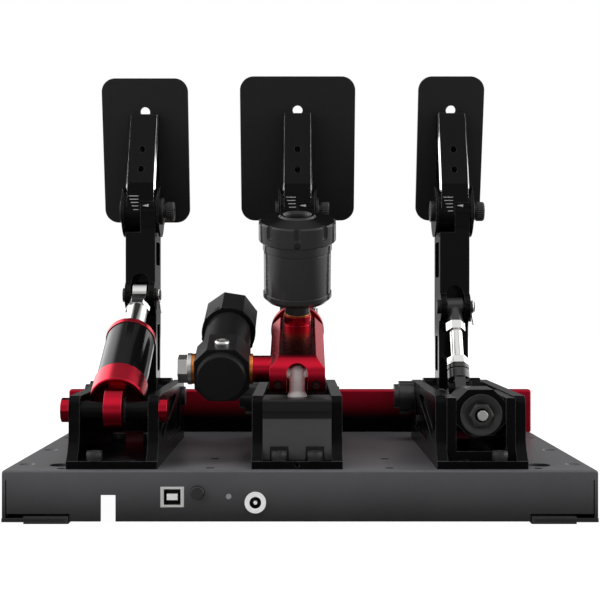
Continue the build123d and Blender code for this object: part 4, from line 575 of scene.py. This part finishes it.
# %% Paint the insides of the sockets
def zone(tree, centre, half, rounded):
    """1 where x and z lie in a box or an ellipse round the centre, else 0; all in millimetres."""
    spot = object_place(tree, (-1300, 500))
    reach = []
    for axis, middle, size in zip("XZ", centre, half):
        share = maths(
            tree, "MULTIPLY_ADD", spot[axis], 1 / MM / size, (-1150, 500), c=-middle / size
        )
        reach.append(maths(tree, "POWER" if rounded else "ABSOLUTE", share, 2.0, (-1000, 500)))
    total = maths(tree, "ADD" if rounded else "MAXIMUM", reach[0], reach[1], (-850, 500))
    return maths(tree, "LESS_THAN", total, 1.0, (-700, 500))


def paint_over(finish, mask, colour, metallic):
    """Lays a plain colour, metallic or not, over the part of a finish that the mask picks out."""
    tree = finish.node_tree
    shader = tree.nodes["Principled BSDF"]
    base, metal = shader.inputs["Base Color"], shader.inputs["Metallic"]
    below = base.links[0].from_socket
    tree.links.new(mix_colours(tree, mask, below, (*colour, 1.0), (-150, 300)), base)
    if metal.links or metal.default_value != metallic:
        present = metal.links[0].from_socket if metal.links else metal.default_value
        both = add(tree, "ShaderNodeMix", (-150, 450), in_0=mask, in_2=present, in_3=metallic)
        tree.links.new(both.outputs[0], metal)


data_place, power_place = (-65.6, 13.9), (-22.9, 11.1)
# The black tints are painted shade in the mouths; the tongue and the pin have their own colours
for finish, place, half, rounded, tint in (
    (socket_shell, data_place, (4.3, 4.0), False, (0.01, 0.01, 0.01)),
    (socket_shell, data_place, (2.85, 1.65), False, (0.75, 0.75, 0.73)),
    (ring_white, power_place, (3.0, 3.0), True, (0.006, 0.006, 0.006)),
    (ring_white, power_place, (1.02, 1.02), True, (0.8, 0.8, 0.8)),
):
    paint_over(finish, zone(finish.node_tree, place, half, rounded), tint, 0.0)

# %% [markdown]
# The long bevels on the pad brackets were cut after the black coat, so they are bright metal. They
# are the only broad faces that look nearly sideways, which tells them from the rest.

# %% Bare bevels on the arms
arm_tree = arm_black.node_tree
bevel_sideways, bevel_slack = 0.945, 0.012
sideways = maths(arm_tree, "ABSOLUTE", facing(arm_tree, (-1300, 800))["X"], 0.0, (-1150, 800))
bevel_mask = maths(
    arm_tree, "COMPARE", sideways, bevel_sideways, (-1000, 800), c=bevel_slack
)
paint_over(arm_black, bevel_mask, (0.85, 0.85, 0.85), 1.0)

# %% [markdown]
# ## Dressing the solids
# Each solid keeps its mesh and takes a finish in its first material slot.

# %% Give every solid its finish
module_x = {"clutch": -97.5 * MM, "brake": -1.5 * MM, "throttle": 94.5 * MM}
finish_of = {
    "base_tray": tray_powder, "rubber_feet": foot_rubber, "heel_plate": red_sheet,
    "control_board": board_green, "usb_socket": socket_shell, "reset_button": moulded_black,
    "status_led": lens_grey, "power_jack": ring_white, "pivot_axles": screw_black,
    "angle_sensors": moulded_black, "module_screws": screw_black,
    "damper_cross_axle": arm_black, "damper_axle_bolts": red_machined,
    "damper_eye_cap": red_machined, "damper_tube": tube_gloss, "damper_top_ring": red_machined,
    "damper_rod": steel_bright, "damper_spring": steel_satin, "brake_front_block": block_black,
    "brake_eye_post": post_satin, "master_cylinder": red_machined, "push_rod": steel_bright,
    "reservoir": moulded_black, "reservoir_cap": cap_black, "pressure_cylinder": pressure_black,
    "pressure_cap": pressure_black, "elastomer_stack": stack_orange,
    "hydraulic_screws": steel_satin, "copper_washers": copper_ring,
    "throttle_spring_frame": module_black, "preload_knob": cap_black, "spring_rod": steel_satin,
    "throttle_spring": steel_satin, "throttle_crank": arm_black, "link_forks": moulded_black,
    "link_turnbuckle": steel_bright,
}
for module in module_x:
    for part, finish in (
        ("arm", arm_black), ("clevis_pin", screw_black), ("pad_bracket", arm_black),
        ("pad", pad_grit), ("angle_bolt", screw_black), ("base_plate", module_black),
        ("left_cheek", module_black), ("right_cheek", module_black),
    ):
        finish_of[f"{module}_{part}"] = finish
for name, solid in nodes.items():
    solid.data.materials.clear()
    solid.data.materials.append(finish_of[name])
print("dressed:", len(finish_of))


# %% [markdown]
# ## Surfaces from numbers
# The small pieces are surfaces worked out as whole arrays. A shape is a grid of points; its faces
# join neighbours, and an edge of the grid may wrap round to the first row. A few helpers do all of
# that, so that each piece below is only its own formula.

# %% Helpers for surfaces
sharp_angle = math.radians(38)


def grid_faces(rows, columns, wrap_rows=False, wrap_columns=False):
    """Corner numbers of the quads of a rows x columns grid; wrapping joins its opposite edges."""
    number = np.arange(rows * columns).reshape(rows, columns)
    if wrap_rows:
        number = np.vstack([number, number[:1]])
    if wrap_columns:
        number = np.hstack([number, number[:, :1]])
    low, high = number[:-1], number[1:]
    quads = np.stack([low[:, :-1], low[:, 1:], high[:, 1:], high[:, :-1]], axis=-1)
    return quads.reshape(-1, 4)


def make_piece(name, parts, finish, body):
    """Joins parts, each (points, faces), into one object that rides on a body; normals face out."""
    points, faces, start = [], [], 0
    for some_points, some_faces in parts:
        points.append(np.asarray(some_points, float).reshape(-1, 3))
        faces += [[start + corner for corner in face] for face in some_faces]
        start += len(points[-1])
    mesh = bpy.data.meshes.new(name)
    mesh.from_pydata(np.vstack(points), [], faces)
    shell = bmesh.new()
    shell.from_mesh(mesh)
    bmesh.ops.recalc_face_normals(shell, faces=shell.faces)
    shell.to_mesh(mesh)
    shell.free()
    mesh.shade_smooth()
    mesh.set_sharp_from_angle(angle=sharp_angle)
    mesh.materials.append(finish)
    piece = bpy.data.objects.new(name, mesh)
    scene.collection.objects.link(piece)
    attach(piece, body)
    return piece


def axes_along(direction):
    """A unit vector along a direction, and two that are square to it and to each other."""
    forward = np.asarray(direction, float) / np.linalg.norm(direction)
    helper = np.array([0.0, 0.0, 1.0]) if abs(forward[2]) < 0.9 else np.array([1.0, 0.0, 0.0])
    side = np.cross(forward, helper)
    side /= np.linalg.norm(side)
    return forward, side, np.cross(forward, side)


def turned_loop(origin, direction, profile, count=36, ripple=None):
    """A closed profile of (along, radius) round an axis: p = o + a f + r (cos t s + sin t u).

    ripple(t) gives a factor for the radius, and works on the profile points marked by a third
    number, which is the share of the ripple that they take.
    """
    forward, side, up = axes_along(direction)
    profile = np.asarray(profile, float)
    angle = np.linspace(0.0, 2 * np.pi, count, endpoint=False)[:, None]
    radius = np.broadcast_to(profile[None, :, 1], (count, len(profile))).copy()
    if ripple is not None:
        radius *= 1.0 + ripple(angle) * profile[None, :, 2]
    points = (
        np.asarray(origin, float)
        + profile[None, :, 0, None] * forward
        + (radius * np.cos(angle))[..., None] * side
        + (radius * np.sin(angle))[..., None] * up
    )
    return points, grid_faces(count, len(profile), True, True).tolist()


def wire(path, radius, around=10):
    """A round wire along a path: p = q + r (cos t s + sin t u), with s and u square to the path."""
    path = np.asarray(path, float)
    tangent = np.gradient(path, axis=0)
    tangent /= np.linalg.norm(tangent, axis=1)[:, None]
    # A slanted helper, as no path here runs exactly along it
    helper = np.array([0.31, 0.17, 0.93])
    side = np.cross(tangent, helper)
    side /= np.linalg.norm(side, axis=1)[:, None]
    up = np.cross(tangent, side)
    angle = np.linspace(0.0, 2 * np.pi, around, endpoint=False)[None, :, None]
    ring = radius * (np.cos(angle) * side[:, None] + np.sin(angle) * up[:, None])
    faces = grid_faces(len(path), around, False, True).tolist()
    last = (len(path) - 1) * around
    faces += [list(range(around)), list(range(last, last + around))]
    return path[:, None] + ring, faces


# %% [markdown]
# ## The angle scale on each pedal head
# The pad can be tipped at the knuckle. Five engraved and filled lines on the pad's half and one
# small pointer on the arm's half show how far. Each mark is a thin slab that follows the round
# knuckle, so it stays on the metal in every pose.

# %% Scale lines and pointers
hinge_y, hinge_z = -14.0 * MM, 170.0 * MM
knuckle_radius = 14.0 * MM
mark_proud, mark_sunk = 0.05 * MM, 0.15 * MM


def knuckle_mark(x_left, x_right, height, tall_left, tall_right, straight=False, turn=0.0):
    """A slab on the knuckle: z = h + v tall(u) / 2 and y = y0 - sqrt(r^2 - (z - z0)^2), x along u.

    On the pad's half it goes on straight up above the hinge. A turn, in radians, carries it round
    the hinge: (y, z) -> (y cos a + z sin a, z cos a - y sin a).
    """
    side = 5
    u, v = np.meshgrid(np.linspace(0, 1, side), np.linspace(-1, 1, side), indexing="ij")
    x = x_left + u * (x_right - x_left)
    rise = height + v * (tall_left + u * (tall_right - tall_left)) / 2 - hinge_z
    layers = []
    for radius in (knuckle_radius + mark_proud, knuckle_radius - mark_sunk):
        back = -np.sqrt(radius**2 - np.minimum(rise, 0.0 if straight else radius) ** 2)
        turned_y = hinge_y + back * math.cos(turn) + rise * math.sin(turn)
        turned_z = hinge_z + rise * math.cos(turn) - back * math.sin(turn)
        layers.append(np.stack([x, turned_y, turned_z], axis=-1))
    # Corner numbers once round the rim of the grid, and the walls that join its two layers
    number = np.arange(side * side).reshape(side, side)
    rim = np.concatenate([number[0], number[1:, -1], number[-1, -2::-1], number[-2:0:-1, 0]])
    wall = np.stack([rim, np.roll(rim, -1), np.roll(rim, -1) + side**2, rim + side**2], axis=-1)
    top = grid_faces(side, side)
    return np.stack(layers), np.vstack([top, top + side**2, wall]).tolist()


# Each line as (its left end, its height), in millimetres
scale_lines = [(-7.0, 177.7), (-6.4, 175.7), (-5.7, 173.7), (-5.1, 171.6), (-4.3, 169.3)]
line_end, line_width = -1.1 * MM, 0.42 * MM
pointer_left, pointer_right, pointer_height = 1.4 * MM, 5.1 * MM, 172.6 * MM
pointer_tip, pointer_base = 0.15 * MM, 1.7 * MM
# How far each head is tipped towards the driver at rest
head_turn = {"clutch": math.radians(3.3), "brake": 0.0, "throttle": 0.0}
for module, x in module_x.items():
    lines = [
        knuckle_mark(
            x + left * MM, x + line_end, z * MM, line_width, line_width, True, head_turn[module]
        )
        for left, z in scale_lines
    ]
    make_piece(f"{module}_angle_scale", lines, mark_white, f"{module}_head")
    pointer = knuckle_mark(
        x + pointer_left, x + pointer_right, pointer_height, pointer_tip, pointer_base
    )
    make_piece(
        f"{module}_angle_pointer", [pointer], mark_white, f"{module}_pedal"
    )
print("angle scales:", len(module_x))


# %% [markdown]
# ## Knurled heads
# The clamp bolts of the pad hinges are turned by hand and the module screws are socket head
# screws, and both have straight knurls. A knurl is a ring whose outer radius ripples round the
# head, so a sleeve over each plain head is enough.

# %% Knurls on bolts and screws
def knurl(origin, direction, radius, length, teeth, depth, steps=8):
    """Sleeve whose outer face is r = R (1 + d |sin(n t / 2)|), with a short chamfer at each end."""
    inner, chamfer, foot = radius - 0.25 * MM, 0.35 * MM, radius - 0.1 * MM
    profile = [
        (0.0, inner, 0.0), (0.0, foot, 0.0), (chamfer, radius, 1.0),
        (length - chamfer, radius, 1.0), (length, foot, 0.0), (length, inner, 0.0),
    ]

    def ripple(t):
        return depth / radius * np.abs(np.sin(teeth * t / 2))

    return turned_loop(origin, direction, profile, teeth * steps, ripple)


knurl_teeth = 26
bolt_head_x = 14.6 * MM
bolt_head_radius, bolt_head_length, bolt_knurl_depth = 5.55 * MM, 4.6 * MM, 0.4 * MM
for module, x in module_x.items():
    head = knurl(
        (x + bolt_head_x, hinge_y, hinge_z), (1, 0, 0), bolt_head_radius, bolt_head_length,
        knurl_teeth, bolt_knurl_depth,
    )
    make_piece(
        f"{module}_bolt_knurl", [head], screw_black, f"{module}_pedal"
    )

# All modules have two rear screws; at the front the clutch has its left and the throttle its right
plate_top, knurl_lift = 31.6 * MM, 0.3 * MM
screw_aside, front_row_y, rear_row_y = 9.3 * MM, -137.4 * MM, -53.0 * MM
screw_head_radius, screw_head_length, screw_knurl_depth = 4.0 * MM, 4.2 * MM, 0.22 * MM
front_row = [("clutch", -1), ("brake", -1), ("brake", 1), ("throttle", 1)]
rear_row = [(module, side) for module in module_x for side in (-1, 1)]
heads = [
    knurl(
        (module_x[module] + side * screw_aside, y, plate_top + knurl_lift), (0, 0, 1),
        screw_head_radius, screw_head_length, knurl_teeth, screw_knurl_depth, 6,
    )
    for row, y in ((front_row, front_row_y), (rear_row, rear_row_y))
    for module, side in row
]
make_piece("module_screw_knurls", heads, screw_black, "base")
print("knurled heads:", len(heads) + len(module_x))


# %% [markdown]
# ## Springs
# Both return springs sit inside their housings, where the solids only hold plain sleeves. They are
# real coils here, with closed ends. A helix turns evenly in its middle and slows its climb at both
# ends.

# %% Coil springs
def coil(origin, direction, length, radius, wire_radius, turns):
    """Helix p = o + f c(s) + R (cos a s + sin a u), whose climb c(s) is flat over the end turns."""
    forward, side, up = axes_along(direction)
    share = np.linspace(0.0, 1.0, int(turns * 26))
    angle = 2 * np.pi * turns * share
    pace = np.clip(np.minimum(share, 1 - share) * turns, 0.0, 1.0) ** 1.5 + 0.12
    climb = np.concatenate([[0.0], np.cumsum((pace[1:] + pace[:-1]) / 2)])
    climb = wire_radius + climb / climb[-1] * (length - 2 * wire_radius)
    path = (
        np.asarray(origin, float) + climb[:, None] * forward
        + radius * (np.cos(angle)[:, None] * side + np.sin(angle)[:, None] * up)
    )
    return wire(path, wire_radius, 12)


# Where each arm's clevis pin is, as (y, z) in millimetres
pin_places = {"clutch": (-24.0, 118.0), "brake": (-24.0, 107.0), "throttle": (-25.0, 110.8)}
# The damper leans from its lower eye to the pin on the clutch arm
eye_y, eye_z = -127.7, 57.0
pin_y, pin_z = pin_places["clutch"]
damper_rise = math.atan2(pin_z - eye_z, pin_y - eye_y)
damper_way = np.array([0.0, math.cos(damper_rise), math.sin(damper_rise)])
damper_eye = np.array([module_x["clutch"], eye_y * MM, eye_z * MM])
damper_coil = make_piece(
    "damper_coil",
    [coil(damper_eye + damper_way * 27.0 * MM, damper_way, length=31.2 * MM, radius=9.9 * MM,
          wire_radius=1.3 * MM, turns=4.0)],
    steel_satin, "damper_body",
)
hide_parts("damper_spring")
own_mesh(damper_coil)
spring_low, spring_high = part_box("throttle_spring")
throttle_coil = make_piece(
    "throttle_coil",
    [coil(((spring_low.x + spring_high.x) / 2, spring_low.y, 55.1 * MM), (0, 1, 0),
          length=spring_high.y - spring_low.y,
          radius=(spring_high.x - spring_low.x) / 2 - 1.3 * MM, wire_radius=1.2 * MM, turns=8.5)],
    steel_satin, "base",
)
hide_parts("throttle_spring")
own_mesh(throttle_coil)
print("springs:", damper_coil.name, throttle_coil.name)

# %% [markdown]
# ## Screws behind the pads
# Each pad is held on its bracket by two countersunk screws from the driver's side. Only their
# heads show, each a shallow cone with a round socket sunk in it.

# %% Pad screws
pad_lean = math.radians(14.7)
pad_top_back, pad_top_rise = 1.0 * MM, 84.0 * MM
# The pad is 3 mm thick, and the heads sit just below its face
head_seat = 2.9 * MM
screw_drops = (42.7 * MM, 54.1 * MM)
pad_screw_profile = MM * np.array([
    (-2.4, 0.3), (-2.4, 1.7), (-1.0, 1.7), (0.5, 3.3),
    (0.7, 3.1), (0.7, 1.6), (-0.9, 1.4), (-0.9, 0.3),
])
for module, x in module_x.items():
    turn = head_turn[module]
    tilt = pad_lean - turn
    down_pad = np.array([0.0, math.sin(tilt), -math.cos(tilt)])
    off_pad = np.array([0.0, math.cos(tilt), math.sin(tilt)])
    # The pad's top edge, seen from the hinge and turned with the head
    pad_top = np.array([
        x,
        hinge_y + pad_top_back * math.cos(turn) + pad_top_rise * math.sin(turn),
        hinge_z + pad_top_rise * math.cos(turn) - pad_top_back * math.sin(turn),
    ])
    heads = [
        turned_loop(pad_top + down_pad * drop + off_pad * head_seat, off_pad, pad_screw_profile)
        for drop in screw_drops
    ]
    make_piece(f"{module}_pad_screws", heads, screw_black, f"{module}_head")
print("pad screws:", len(screw_drops) * len(module_x))

# %% [markdown]
# ## Set screws
# Two small set screws hold the cross pin in the master cylinder's round end.

# %% Set screws in the master cylinder
set_screw_aside, set_screw_y, set_screw_z = 10.1 * MM, -124.25 * MM, 70.4 * MM
set_screw_profile = MM * np.array([
    (0.0, 0.3), (0.0, 2.05), (2.0, 2.05), (2.3, 1.8), (2.3, 1.0), (0.8, 0.95), (0.8, 0.3),
])
screws = []
for side in (-1, 1):
    place = (module_x["brake"] + side * set_screw_aside, set_screw_y, set_screw_z)
    screws.append(turned_loop(place, (0, -1, 0), set_screw_profile))
make_piece("master_set_screws", screws, module_black, "master")
print("set screws:", len(screws))

# %% [markdown]
# ## Safety clips
# A spring clip of bent wire keeps each clevis pin in its fork. It loops over the pin's end and one
# leg hangs down beside the arm.

# %% Spring clips on the clevis pins
arm_side = 10.9
loop_radius, loop_turns, loop_share = 3.4, 0.75, 0.55
leg_drop, leg_lean, leg_spread = 11.0, 0.8, 1.2
clip_wire = 0.55 * MM
for module, (pin_y, pin_z) in pin_places.items():
    # First the loop, which starts above the pin, then the leg; all in millimetres
    share = np.linspace(0.0, 1.0, 60)
    bend = np.clip(share / loop_share, 0, 1) * loop_turns * 2 * np.pi + 0.5 * np.pi
    leg = np.clip((share - loop_share) / (1 - loop_share), 0, 1)
    x = module_x[module] / MM + arm_side + leg_spread * leg**2
    y = pin_y + loop_radius * np.cos(bend) - leg * leg_lean
    z = pin_z + loop_radius * np.sin(bend) - leg * leg_drop
    clip = wire(np.stack([x, y, z], axis=-1) * MM, clip_wire)
    make_piece(f"{module}_pin_clip", [clip], steel_satin, f"{module}_pedal")
print("clips:", len(pin_places))
